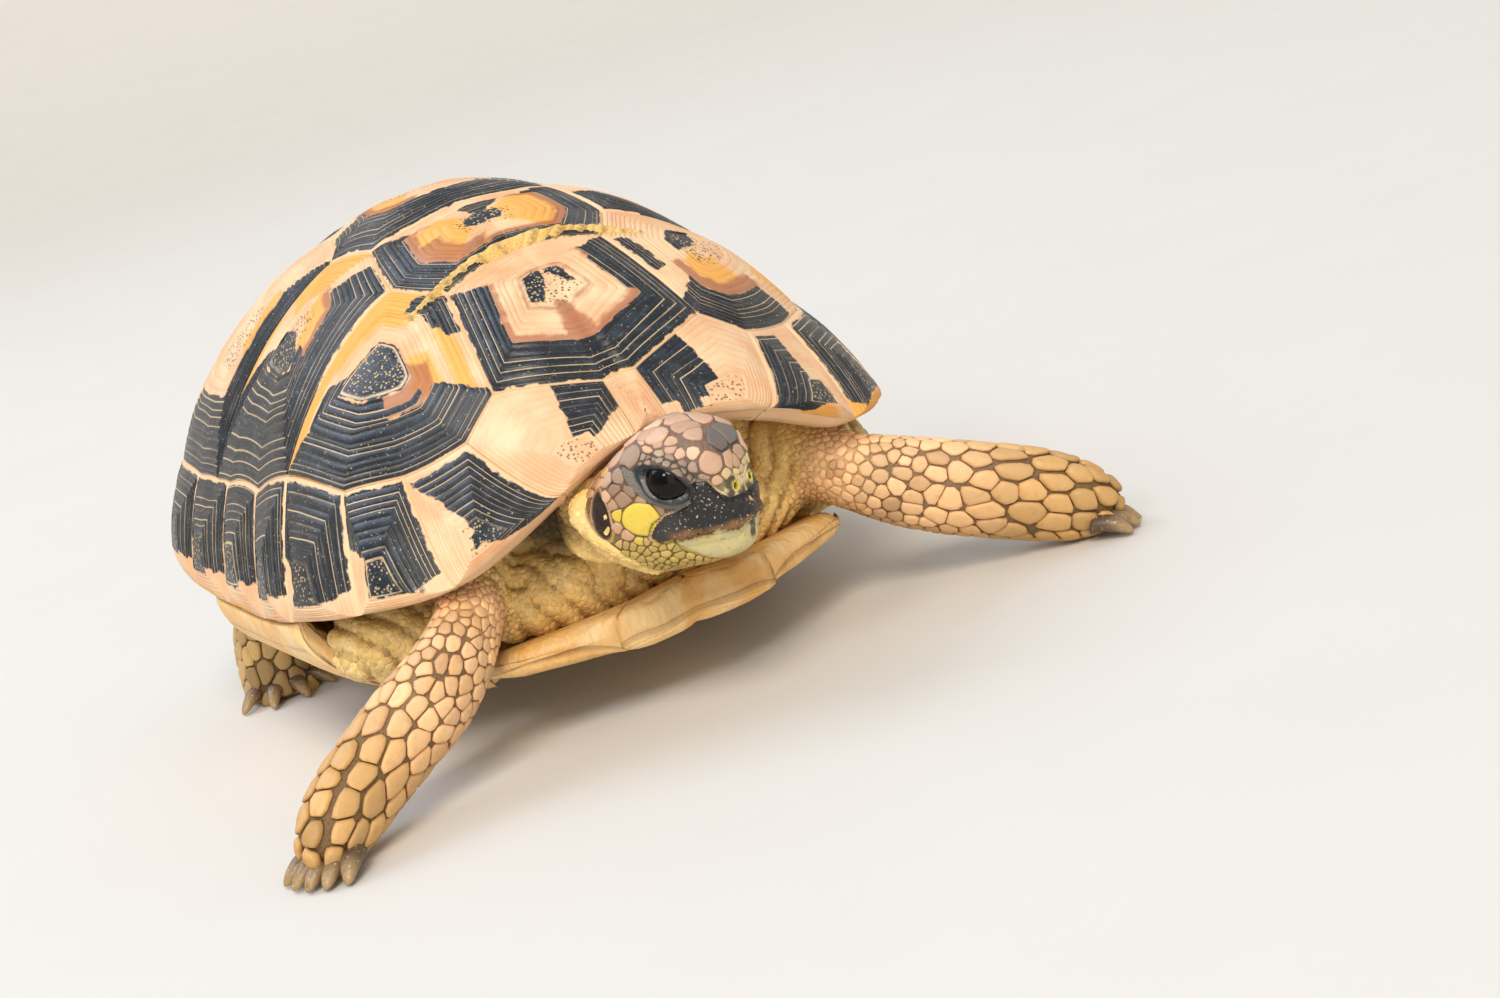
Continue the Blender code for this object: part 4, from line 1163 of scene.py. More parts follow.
@dataclass(frozen=True)
class BeakHorn:
    """Thick beak and claw keratin: polished by wear, scratched and chipped with pale flecks."""

    fleck: str = "#C9BDA6"
    scratch: str = "#1E1812"

    def make(self) -> bpy.types.Material:
        """Build the material from the paint layer of a beak or claw.

        Returns:
            The material.
        """
        material, t, noise_of = begin("beak_horn")
        paint = add(t, "Attribute", out="Color", attribute_name="paint")
        lumps = add(t, "TexNoise", {**noise_of, "Scale": 1 / (1.6 * MM)})
        scratches = add(t, "TexNoise", {**noise_of, "Scale": 1 / (1.3 * MM), "Detail": 4.0})
        fine = add(t, "TexNoise", {**noise_of, "Scale": 1 / (0.5 * MM), "Detail": 4.0})
        flecks = add(t, "TexNoise", {**noise_of, "Scale": 1 / (0.48 * MM), "Detail": 1.5})
        colour = layered(t, paint, (flecks, 0.655, 0.69, 0.8, self.fleck),
                         (scratches, 0.55, 0.7, 0.4, self.scratch))
        rough = add(t, "Math", (fine, 0.25, 0.22), operation="MULTIPLY_ADD")
        return finished(material, colour, rough, ((fine, 0.10), (lumps, 0.18)), IOR=1.54)


@dataclass(frozen=True)
class EyeBall:
    """A wet eyeball: black pupil in a near-black brown iris under a clear cornea."""

    pupil: str = "#020202"
    iris: tuple[str, str] = ("#070403", "#130B06")
    edge: str = "#0E1012"
    white: str = "#525B60"

    def make(self) -> bpy.types.Material:
        """Build the material from the gaze layer, in millimetres from the pupil's middle.

        Returns:
            The material.
        """
        material, t, noise_of = begin("wet_eye")
        gaze = add(t, "Attribute", out="Fac", attribute_name="gaze")
        streaks = add(t, "TexNoise", {**noise_of, "Scale": 1 / (0.35 * MM)})
        iris = {0: streaks, 6: linear(self.iris[0]), 7: linear(self.iris[1])}
        iris = add(t, "Mix", iris, out=2, data_type="RGBA")
        colour = layered(t, linear(self.pupil), (gaze, 2.1, 2.4, 1.0, iris),
                         (gaze, 3.3, 3.5, 1.0, self.edge), (gaze, 3.7, 4.2, 1.0, self.white))
        return finished(material, colour, 0.04, ((streaks, 0.004),), IOR=1.36, Specular_IOR_Level=0.4)


@dataclass
class Limb:
    """Round sections along a path: x outwards, y, z, breadth and thickness."""

    name: str
    side: int
    upright: tuple
    path: tuple
    squareness: float = 2.3
    steps: int = 160

    def __post_init__(self) -> None:
        """Tabulate the path in even steps of its row numbers."""
        rows = [(k, self.side * row[0], *row[1:]) for k, row in enumerate(self.path)]
        last = len(rows) - 1
        self.at = np.linspace(0, last, self.steps)
        table = track(rows, self.at)
        self.middle, self.wide, self.thick = table[:, :3], table[:, 3], table[:, 4]
        self.ahead = unit(track(rows, np.minimum(self.at + 0.05, last))[:, :3]
                          - track(rows, np.maximum(self.at - 0.05, 0))[:, :3])
        up = np.array(self.upright, float)
        self.tall = unit(up - self.ahead * (self.ahead @ up)[:, None])
        self.aside = np.cross(self.ahead, self.tall)
        self.run = np.r_[0, np.cumsum(np.linalg.norm(np.diff(self.middle, axis=0), axis=1))]

    def tube(self, inset: Array | float, columns: int = 40, dome: float = 0.0) -> tuple[Array, list]:
        """A closed tube along the path.

        Args:
            inset: how far the skin lies inside the section, in millimetres.
            columns: points round the tube.
            dome: how far its far end bulges.
        Returns:
            Points and faces.
        """
        angle = np.linspace(0, 2 * math.pi, columns, endpoint=False)
        c, s = np.cos(angle), np.sin(angle)
        reach = (np.abs(c) ** self.squareness + np.abs(s) ** self.squareness) ** (-1 / self.squareness)
        half_w = (self.wide / 2 - inset)[:, None] * (c * reach)
        half_t = (self.thick / 2 - inset)[:, None] * (s * reach)
        rings = (self.middle[:, None] + self.tall[:, None] * half_w[..., None]
                 + self.aside[:, None] * half_t[..., None])
        rows = [rings.reshape(-1, 3)]
        for f in (0.5, 0.87, 1.0):
            shrink = math.sqrt(1 - (f * 0.98) ** 2)
            rows.append(self.middle[-1] + (rings[-1] - self.middle[-1]) * shrink
                        + self.ahead[-1] * dome * f)
        points = np.concatenate([*rows, self.middle[:1], self.middle[-1:] + self.ahead[-1:] * dome])
        points[:, 2] = np.maximum(points[:, 2], SOLE + 0.05)
        return points, tube_faces(self.steps + 3, columns)

    def locate(self, points: Array) -> tuple[Array, Array, Array, Array]:
        """Where places lie along the limb.

        Args:
            points: places in millimetres.
        Returns:
            Run along the path in mm, angle round it, direction of the path, and the
            distance from it as a share of the limb's radius.
        """
        best = np.full(len(points), 1e9)
        near = np.zeros(len(points), int)
        for k in range(0, self.steps, 2):
            gap = ((points - self.middle[k]) ** 2).sum(-1)
            near = np.where(gap < best, k, near)
            best = np.minimum(best, gap)
        d = points - self.middle[near]
        run = self.run[near] + (d * self.ahead[near]).sum(-1)
        up, out = (d * self.tall[near]).sum(-1), (d * self.aside[near]).sum(-1)
        share = np.hypot(up / (self.wide[near] / 2), out / (self.thick[near] / 2))
        return run, np.arctan2(out, up), self.ahead[near], share


class Zone(Enum):
    """Parts of the hide that have scales of their own."""

    FORELEG = 0
    HINDLEG = 1
    NECK = 2
    TAIL = 3
    TRUNK = 4


@dataclass
class Patchwork:
    """Scales laid side by side on a skin, each filling the room between its neighbours."""

    hide: tuple[Array, Array, Array]      # points, four-sided faces, normals
    fields: object                        # (points, normals) -> size, stretch, lie
    seed: int
    fixed: tuple = ()                     # (place, size) of scales given one by one
    density: float = 8.0
    crowd: float = 0.80
    gap: float = 0.10
    bare: float = 0.3                     # skin whose scales would be smaller has none
    sunk: float = 0.12                    # how far the outlines lie under the skin
    reach: float = 0.92                   # farthest that a scale spreads, as a share of its size
    roots: Array = field(init=False)
    normals: Array = field(init=False)

    def __post_init__(self) -> None:
        """Throw seeds on the skin, keep those with room, and even them out."""
        rng = np.random.default_rng(self.seed)
        points, faces, normals = self.hide
        corners = points[faces]
        area = np.linalg.norm(np.cross(corners[:, 2] - corners[:, 0], corners[:, 3] - corners[:, 1]),
                              axis=1) / 2
        size = self.fields(corners.mean(1), unit(normals[faces].mean(1)))[0]
        wanted = np.where(size > self.bare, area * self.density / np.maximum(size, self.bare) ** 2, 0)
        pick = np.repeat(np.arange(len(faces)), rng.poisson(wanted))
        u, v = rng.random((2, len(pick), 1))
        share = np.stack([(1 - u) * (1 - v), u * (1 - v), u * v, (1 - u) * v], 1)
        places = (corners[pick] * share).sum(1)
        facing = unit((normals[faces[pick]] * share).sum(1))
        places = np.concatenate([np.array([p for p, _ in self.fixed]).reshape(-1, 3), places])
        near = self.tree_of(points)
        lead = [normals[near.find(p)[1]] for p, _ in self.fixed]
        facing = np.concatenate([np.array(lead).reshape(-1, 3), facing])
        size, stretch, lie = self.fields(places, facing)
        size[:len(self.fixed)] = [s for _, s in self.fixed]
        self.tree = BVHTree.FromPolygons(points.tolist(), faces.tolist())
        keep = self.thin(rng, places, size, stretch, lie)
        self.roots, self.normals = places[keep], facing[keep]
        self.size, self.held = size[keep], np.array(keep) < len(self.fixed)
        for _ in range(3):
            self.even_out(places, facing, size, stretch, lie)
        sizes, self.stretch, self.lie = self.fields(self.roots, self.normals)
        self.size = np.where(self.held | (sizes <= self.bare), self.size, sizes)

    @staticmethod
    def tree_of(points: Array) -> object:
        """A tree that finds the nearest of many places.

        Args:
            points: places in millimetres, three to a row.
        Returns:
            The tree.
        """
        tree = KDTree(len(points))
        for k, p in enumerate(points):
            tree.insert(p, k)
        tree.balance()
        return tree

    def thin(self, rng: np.random.Generator, places: Array, size: Array, stretch: Array,
             lie: Array) -> list[int]:
        """Numbers of the seeds that keep their distance, given ones first.

        Args:
            rng: random numbers.
            places: the seeds.
            size: size of a scale at each.
            stretch: how much longer than broad it is.
            lie: the way it lies.
        Returns:
            Numbers of the seeds kept.
        """
        tree = self.tree_of(places)
        alive = size > self.bare
        hand = len(self.fixed)
        keep = []
        for i in [*range(hand), *(rng.permutation(len(places) - hand) + hand)]:
            if not alive[i]:
                continue
            keep.append(int(i))
            near = np.array([k for _, k, _ in tree.find_range(places[i], size[i] * stretch[i] * 1.3)])
            d = places[near] - places[i]
            along = d @ lie[i]
            gap = np.sqrt(np.maximum((d * d).sum(1) - along**2 * (1 - stretch[i] ** -2), 0))
            alive[near[gap < self.crowd * (size[i] + size[near]) / 2]] = False
        return keep

    def even_out(self, places: Array, facing: Array, size: Array, stretch: Array, lie: Array) -> None:
        """Move every free seed to the middle of the room that it holds.

        Args:
            places: all the seeds that were thrown.
            facing: normals there.
            size: size of a scale at each.
            stretch: how much longer than broad it is.
            lie: the way it lies.
        """
        tree = self.tree_of(self.roots)
        number = min(6, len(self.roots))
        near = np.array([[k for _, k, _ in tree.find_n(p, number)] for p in places])
        d = places[:, None] - self.roots[near]
        along = (d * lie[:, None]).sum(-1)
        gap = np.sqrt(np.maximum((d * d).sum(-1) - along**2 * (1 - stretch[:, None] ** -2), 0))
        owner = near[np.arange(len(places)), np.argmin(gap / self.size[near], 1)]
        weight = np.maximum(size, 0.01) ** 2
        total = np.maximum(np.bincount(owner, weight, len(self.roots)), 1e-9)[:, None]
        middle = np.stack([np.bincount(owner, weight * places[:, k], len(self.roots))
                           for k in range(3)], -1) / total
        lead = np.stack([np.bincount(owner, weight * facing[:, k], len(self.roots))
                         for k in range(3)], -1)
        for i in np.flatnonzero(~self.held & (total[:, 0] > 1e-6)):
            self.roots[i] = self.tree.find_nearest(middle[i])[0]
            self.normals[i] = unit(lead[i])

    def outlines(self) -> list[Array]:
        """The outline of every scale, laid on the skin.

        Returns:
            The corners of each scale, in order round it.
        """
        tree = self.tree_of(self.roots)
        number = min(22, len(self.roots))
        near = np.array([[k for _, k, _ in tree.find_n(p, number)] for p in self.roots])[:, 1:]
        first = unit(self.lie - self.normals * (self.lie * self.normals).sum(-1, keepdims=True))
        second = np.cross(self.normals, first)
        d = self.roots[near] - self.roots[:, None]
        x = (d * first[:, None]).sum(-1) / self.stretch[:, None]
        y = (d * second[:, None]).sum(-1)
        span = np.maximum(np.sqrt(x * x + y * y), 0.05)
        same = (self.normals[near] * self.normals[:, None]).sum(-1) > 0.1
        r, others = self.size / 2, self.size[near] / 2
        wall = (span**2 + (r**2)[:, None] - others**2) / (2 * span)
        wall = np.maximum(np.where(same, wall, 1e3), 0.22 * self.size[:, None])
        self.first, self.second = first, second
        count = np.select([self.size < 1.5, self.size < 3, self.size < 5], [6, 10, 14], 22)
        start = np.cumsum(count) - count
        own = np.repeat(np.arange(len(count)), count)
        turn = (np.arange(len(own)) - start[own] + 0.5 * (own % 2)) / count[own] * 2 * math.pi
        c, s, size = np.cos(turn)[:, None], np.sin(turn)[:, None], self.size[own]
        toward = np.maximum(c * x[own] + s * y[own], 0) / span[own]
        reach = (((toward / wall[own]) ** 15).sum(1) + (self.reach * size) ** -15.0) ** (-1 / 15)
        reach = np.maximum(reach - self.gap / 2 * np.minimum(1, size / 1.8), 0.2 * size)[:, None]
        cut = np.zeros(len(own))
        for _ in range(5):
            flat = self.roots[own] + reach * (c * self.stretch[own][:, None] * first[own] + s * second[own])
            bare = self.fields(flat, self.normals[own])[0] < self.bare
            cut = np.maximum(cut, bare)
            reach = np.where(bare[:, None], reach * 0.8, reach)
        # A scale that has lost most of its rim to bare skin is left out.
        self.whole = self.held | (np.bincount(own, cut) / count < 0.5)
        laid = np.array([self.tree.find_nearest(p)[0] for p in flat]) - self.normals[own] * self.sunk
        return np.split(laid, start[1:])

    def bulge(self, shapes: list[Array]) -> Array:
        """How far the skin stands out over the rim of each scale, in millimetres."""
        rims = np.array([shape.mean(0) for shape in shapes])
        return np.clip(((self.roots - rims) * self.normals).sum(-1) - self.sunk, 0, 0.8)


@dataclass
class Coat:
    """Raises the outlines of a patchwork into solid scales with Geometry Nodes."""

    model: Model
    finish: bpy.types.Material
    # For each storey of a scale: share of the rise, width of its top, and rim value there.
    storeys: tuple = ((0.45, 0.99, 0.40), (0.28, 0.945, 0.06), (0.17, 0.86, 0.0), (0.10, 0.65, 0.0))
    patch: float = 0.003                 # width of a scale's patch on the OFBake map
    raiser: Tree = field(init=False)     # the node tree that all coat pieces share

    def __post_init__(self) -> None:
        """Build the node tree once."""
        self.raiser = self.tree()

    def tree(self) -> Tree:
        """The node tree: outlines in, scales out.

        Returns:
            The tree.
        """
        group = bpy.data.node_groups.new("raise_scales", "GeometryNodeTree")
        face = group.interface
        face.new_socket("Outlines", in_out="INPUT", socket_type="NodeSocketGeometry")
        for k in range(len(self.storeys)):
            face.new_socket(f"Rise {k + 1}", in_out="INPUT", socket_type="NodeSocketFloat")
            face.new_socket(f"Width {k + 1}", in_out="INPUT", socket_type="NodeSocketFloat")
        face.new_socket("Patch", in_out="INPUT", socket_type="NodeSocketFloat")
        face.new_socket("Scales", in_out="OUTPUT", socket_type="NodeSocketGeometry")
        given = group.nodes.new("NodeGroupInput")
        rise, root, first, second, chart = [
            add(group, "GeometryNodeInputNamedAttribute", {"Name": word}, data_type="FLOAT_VECTOR")
            for word in ("rise", "root", "first", "second", "chart")]
        store = "GeometryNodeStoreNamedAttribute"
        shape = add(group, store, {"Geometry": given.outputs["Outlines"], "Name": "rim", "Value": 1.0},
                    data_type="FLOAT", domain="POINT")
        floor = add(group, "GeometryNodeFlipFaces", {"Mesh": shape})
        top = True
        for k, (_, _, rim) in enumerate(self.storeys, 1):
            raised = add(group, "GeometryNodeExtrudeMesh",
                         {"Mesh": shape, "Selection": top, "Offset": rise,
                          "Offset Scale": given.outputs[f"Rise {k}"], "Individual": True},
                         out="node", mode="FACES")
            top = raised.outputs["Top"]
            shape = add(group, "GeometryNodeScaleElements",
                        {"Geometry": raised.outputs["Mesh"], "Selection": top,
                         "Scale": given.outputs[f"Width {k}"]}, domain="FACE")
            shape = add(group, store, {"Geometry": shape, "Selection": top, "Name": "rim", "Value": rim},
                        data_type="FLOAT", domain="POINT")
        both = add(group, "GeometryNodeJoinGeometry", {"Geometry": shape}, out="node")
        group.links.new(floor, both.inputs[0])
        shape = add(group, "GeometryNodeMergeByDistance", {"Geometry": both.outputs[0], "Distance": 1e-6})
        place = add(group, "GeometryNodeInputPosition")
        off = add(group, "ShaderNodeVectorMath", {0: place, 1: root}, operation="SUBTRACT")
        dots = [add(group, "ShaderNodeVectorMath", {0: off, 1: side}, out=1, operation="DOT_PRODUCT")
                for side in (first, second)]
        local = add(group, "ShaderNodeCombineXYZ", {0: dots[0], 1: dots[1]})
        local = add(group, "ShaderNodeVectorMath", {0: local, "Scale": given.outputs["Patch"]},
                    operation="SCALE")
        place = add(group, "ShaderNodeVectorMath", {0: chart, 1: local}, operation="ADD")
        shape = add(group, store, {"Geometry": shape, "Name": "OFBake", "Value": place},
                    data_type="FLOAT2", domain="CORNER")
        shape = add(group, "GeometryNodeRealizeInstances", {"Geometry": shape})
        shape = add(group, "GeometryNodeSetMaterial", {"Geometry": shape, "Material": self.finish})
        done = group.nodes.new("NodeGroupOutput")
        group.links.new(shape, done.inputs[0])
        return group

    def grow(self, name: str, work: Patchwork, shapes: list[Array], chosen: Array, rise: Array,
             paint: Array, chart: Array, soil: Array | float) -> Object:
        """Make one coat piece.

        Args:
            name: its name.
            work: the patchwork that it is a part of.
            shapes: outlines of all scales of the patchwork.
            chosen: numbers of the scales in this piece.
            rise: for each chosen scale, how far its top stands out, as a vector in mm.
            paint: its colour.
            chart: its root's place on the skin's unwrap, from 0 to 1.
            soil: how much dirt is lodged round its foot, from 0 to 1.
        Returns:
            The finished piece.
        """
        points = np.concatenate([shapes[i] for i in chosen])
        ends = np.cumsum([0] + [len(shapes[i]) for i in chosen])
        faces = [list(range(a, b)) for a, b in zip(ends[:-1], ends[1:])]
        body = self.model.piece(name, points, faces, self.finish)
        span = np.array([np.ptp(shapes[i], axis=0).max() for i in chosen])[:, None] * MM
        layers = {"rise": rise * MM, "root": self.model.to_metres(work.roots[chosen]),
                  "first": work.first[chosen] / span, "second": work.second[chosen] / span,
                  "chart": np.c_[chart, np.zeros(len(chart))]}
        for word, values in layers.items():
            layer = body.data.attributes.new(word, "FLOAT_VECTOR", "FACE")
            layer.data.foreach_set("vector", values.astype(np.float32).ravel())
        layer = body.data.attributes.new("paint", "FLOAT_COLOR", "FACE")
        layer.data.foreach_set("color", np.c_[paint, soil * np.ones(len(paint))].astype(np.float32).ravel())
        change = body.modifiers.new("scales", "NODES")
        change.node_group = self.raiser
        sizes = {"Patch": self.patch}
        for k, (part, width, _) in enumerate(self.storeys, 1):
            sizes[f"Rise {k}"], sizes[f"Width {k}"] = part, width
        for item in change.node_group.interface.items_tree:
            if item.in_out == "INPUT" and item.name in sizes:
                change[item.identifier] = sizes[item.name]
        view = bpy.context.evaluated_depsgraph_get()
        mesh = bpy.data.meshes.new_from_object(body.evaluated_get(view), depsgraph=view)
        body.modifiers.clear()
        body.data = mesh
        for word in layers:
            mesh.attributes.remove(mesh.attributes[word])
        mesh.shade_smooth()
        return settle(body, "scaled_skin")


@dataclass(frozen=True)
class HeadFrame:
    """Places in the head: how far behind the snout, aside to its left, and up."""

    snout: tuple = (4.5, -100.4, 22.5)
    yaw: float = 32.0
    pitch: float = -5.0
    eye_place: tuple = (11.9, 6.1, 10.2)

    def axes(self) -> Array:
        """Rows: towards the rear, to the animal's left, up.

        Returns:
            Three unit vectors.
        """
        yaw, pitch = math.radians(self.yaw), math.radians(self.pitch)
        forward = np.array([math.sin(yaw) * math.cos(pitch), -math.cos(yaw) * math.cos(pitch),
                            math.sin(pitch)])
        left = np.array([math.cos(yaw), math.sin(yaw), 0])
        return np.stack([-forward, left, np.cross(forward, left)])

    def out(self, places: Array) -> Array:
        """Head places as points in the shell's frame."""
        return np.asarray(places) @ self.axes() + np.array(self.snout)

    def into(self, points: Array) -> Array:
        """Points in the shell's frame as head places."""
        return (np.asarray(points) - np.array(self.snout)) @ self.axes().T


# ---- the head ---------------------------------------------------------------
@dataclass
class Head:
    """Skull skin with lids, nostrils and mouth; beak, eyes and plates."""

    model: Model
    frame: HeadFrame = HeadFrame()
    # Behind the snout: half width, crown, keel and middle heights.
    rows: tuple = ((0, 3.2, 9.6, -0.4, 4.2), (2.0, 4.6, 13.2, -3.6, 4.0), (3.6, 6.2, 15.8, -5.0, 3.9),
                   (6.5, 7.9, 18.0, -6.2, 4.5), (10.5, 9.0, 19.2, -7.3, 6.0), (15, 10.1, 19.3, -8.1, 7.5),
                   (20, 11.0, 17.4, -8.5, 6.4), (25.5, 11.4, 13.8, -8.1, 4.6),
                   (29.5, 10.6, 11.0, -7.0, 3.4), (32, 9.2, 9.0, -5.6, 2.8))
    squareness: float = 2.35
    # Squareness of the crown's half of a section, by its place behind the snout.
    brow: tuple = ((5, 9, 17, 22, 27), (4.6, 3.2, 3.0, 2.6, 2.35))
    blunt: float = 2.0                   # where the rounded front of the snout begins
    columns: int = 216                   # points round the head
    slices: int = 148                    # rings of points along it
    length: float = 31.6
    coat_depth: float = 0.35
    eye_radius: float = 4.8
    eye_tilt: float = 27.0               # slope of the slit, lower at the snout
    slit: tuple = (5.0, 2.75)            # half length and half height over the ball
    lid: float = 0.5
    nostril: tuple = (1.35, 2.5, 7.2)
    cheek: tuple = (17.4, 10.4, 4.2)
    # The neck fold's place behind the snout at heights from throat to nape.
    fold_up: tuple = (-8.4, -5.3, 0.3, 2.8, 11.0)
    fold_behind: tuple = (19.5, 21.8, 25.8, 28.2, 31.3)
    # Horn sheaths seen from the side, as (behind, up).
    upper_beak: tuple = ((-2, 4.4), (2.4, 5.7), (3.6, 7.4), (4.8, 9.7), (6.9, 9.9), (7.9, 6.2), (10, 5.2),
                         (13, 4.4), (15.2, 2.8), (16.8, 0.6), (15.0, -0.5), (11.3, 0.1), (7.8, 0.7),
                         (4.5, 0.8), (2.6, 0.3), (1.2, 1.0), (-2, 1.0))
    lower_beak: tuple = ((-2, 2.0), (0.8, 1.8), (2.2, 0.9), (4.5, 0.6), (8.0, 0.3), (12.8, -0.7),
                         (12.4, -2.2), (10.2, -3.6), (8.2, -4.9), (6.0, -6.6), (-2, -6.6))

    def section(self, behind: Array) -> Array:
        """Half width, crown, keel and middle at places behind the snout."""
        return track(self.rows, np.clip(behind, 0, 32))

    def around(self, behind: Array, angle: Array) -> Array:
        """Plain places on the head, by their place behind the snout and angle.

        Args:
            behind: places behind the snout.
            angle: angles from the animal's left, upwards.
        Returns:
            Head places.
        """
        half, crown, keel, middle = self.section(behind).T
        c, s = np.cos(angle), np.sin(angle)
        power = self.squareness + (np.interp(behind, *self.brow) - self.squareness) * np.clip(s * 3, 0, 1)
        reach = (np.abs(c) ** power + np.abs(s) ** power) ** (-1 / power)
        tall = np.where(s > 0, crown - middle, middle - keel)
        return np.stack([behind, half * c * reach, middle + tall * s * reach], -1)

    def grid(self) -> tuple[Array, Array]:
        """Plain places and faces of the whole head, finest round the eyes.

        Returns:
            Head places, and faces as point numbers.
        """
        angle = np.linspace(0, 2 * math.pi, 2001)
        dense = 1 + 1.1 * (np.exp(-((angle - 0.35) / 0.33) ** 2) + np.exp(-((angle - 2.79) / 0.33) ** 2)
                           + np.exp(-((angle - 6.63) / 0.33) ** 2))
        total = np.cumsum(dense)
        turns = np.interp(np.arange(self.columns) / self.columns * total[-1], total, angle)
        behind = np.linspace(self.blunt, self.length, 2001)
        total = np.cumsum(1 + 0.9 * ease(5, 7, behind) * ease(18.5, 16.5, behind))
        places = np.interp(np.linspace(0, 1, self.slices), total / total[-1], behind)
        rows = []
        for f in (0.06, 0.16, 0.26, 0.35, *np.arange(0.42, 0.99, 0.04)):
            # The blunt snout: from its middle out to the first section, gently domed.
            ring = self.around(np.full(self.columns, self.blunt), turns)
            ring[:, 1:] = ring[:, 1:] * f + np.array([0, 4.0]) * (1 - f)
            ring[:, 0] = self.blunt - 0.9 * (1 - f**2.4)
            rows.append(ring)
        rows += [self.around(np.full(self.columns, b), turns) for b in places]
        points = np.concatenate([*rows, [[self.blunt - 0.9, 0, 4.0]], [[self.length + 0.2, 0, 3.0]]])
        return points, four_sided(tube_faces(len(rows), self.columns))

    def eye_axes(self) -> tuple[Array, Array, Array]:
        """Along the slit, up across it, and out of the socket.

        Returns:
            Three unit vectors, for the left eye.
        """
        tilt = math.radians(self.eye_tilt)
        out = unit(np.array([-0.14, 1.0, 0.10]))
        along = np.array([math.cos(tilt), 0, math.sin(tilt)])
        along = unit(along - out * (along @ out))
        across = np.cross(out, along)
        return along, across if across[2] > 0 else -across, out

    def eye_map(self, local: Array) -> tuple[Array, Array, Array]:
        """Places about the eye on their own side.

        Args:
            local: head places.
        Returns:
            Distance from the eye's middle, share of the way to the slit's edge, and height across.
        """
        d = np.stack([local[:, 0], np.abs(local[:, 1]), local[:, 2]], -1)
        d = d - np.array(self.frame.eye_place)
        along, across, out = self.eye_axes()
        x, y = d @ along, d @ across
        aside = np.maximum(np.hypot(x, y), 1e-6)
        run = np.maximum(np.arctan2(aside, d @ out) * self.eye_radius, aside) / aside
        x, y = x * run / self.slit[0], y * run / self.slit[1]
        return np.linalg.norm(d, axis=1), (np.abs(x) ** 1.65 + np.abs(y) ** 1.65) ** (1 / 1.65), y

    def from_nostril(self, local: Array) -> Array:
        """Distance from the nearer nostril, seen from the front."""
        _, aside, up = self.nostril
        return np.hypot(np.abs(local[:, 1]) - aside, local[:, 2] - up) + np.maximum(local[:, 0] - 4.5, 0)

    def past_fold(self, local: Array) -> Array:
        """How far places lie behind the neck fold."""
        return local[:, 0] - np.interp(local[:, 2], self.fold_up, self.fold_behind)

    def sculpt(self, local: Array, faces: Array) -> Array:
        """Turn the plain head into a real one: inset, mouth, nostrils, ear and lids.

        Args:
            local: head places, three to a row.
            faces: four point numbers for each face.
        Returns:
            The new head places.
        """
        normal = normals_of(local, faces)
        depth = np.full(len(local), -self.coat_depth)
        lip = ease(0.55, -0.05, local[:, 2]) * ease(17.5, 13.0, local[:, 0])
        depth -= 0.62 * lip * ease(-5.0, -2.0, local[:, 2])
        groove = np.exp(-((local[:, 2] - 0.2 + 0.06 * local[:, 0]) / 0.28) ** 2)
        depth -= 0.45 * groove * ease(17.0, 15.0, local[:, 0])
        nostril = self.from_nostril(local)
        depth += 0.20 * np.exp(-((nostril - 0.85) / 0.28) ** 2) - 1.1 * np.exp(-((nostril / 0.5) ** 4))
        depth -= 0.55 * ease(1.15, 0.75, self.from_ear(local))
        depth += 0.16 * noise(local, 4.5, 5) + 0.05 * noise(local, 1.3, 6)
        depth -= 1.1 * ease(-0.2, 1.6, self.past_fold(local))
        shaped = local + normal * depth[:, None]
        # Lids: the skin is drawn over the eyeball and folds in at the slit.
        far, share, height = self.eye_map(shaped)
        centre = np.array(self.frame.eye_place) * np.c_[np.ones(len(local)), np.sign(shaped[:, 1]),
                                                        np.ones(len(local))]
        ray = unit(shaped - centre)
        r = self.eye_radius
        shell = r + 0.15 + self.lid * ease(2.7, 1.4, share) + 0.25 * ease(0.0, 1.0, height)
        shell -= 0.32 * np.exp(-((share - 1.55) / 0.10) ** 2)
        shell += 0.20 * np.exp(-((share - 1.15) / 0.10) ** 2)
        skin = 0.5 * (far + shell + np.sqrt((far - shell) ** 2 + 0.10))
        skin = np.where(share > 3.6, far, skin)
        slit = ease(0.94, 1.03, share)
        return centre + ray * (slit * skin + (1 - slit) * (r - 0.9))[:, None]

    @staticmethod
    def from_ear(local: Array) -> Array:
        """Distance from the middle of the ear, 1 at its edge."""
        return np.hypot((local[:, 0] - 25.4) / 1.8, (local[:, 2] - 5.3) / 3.9)

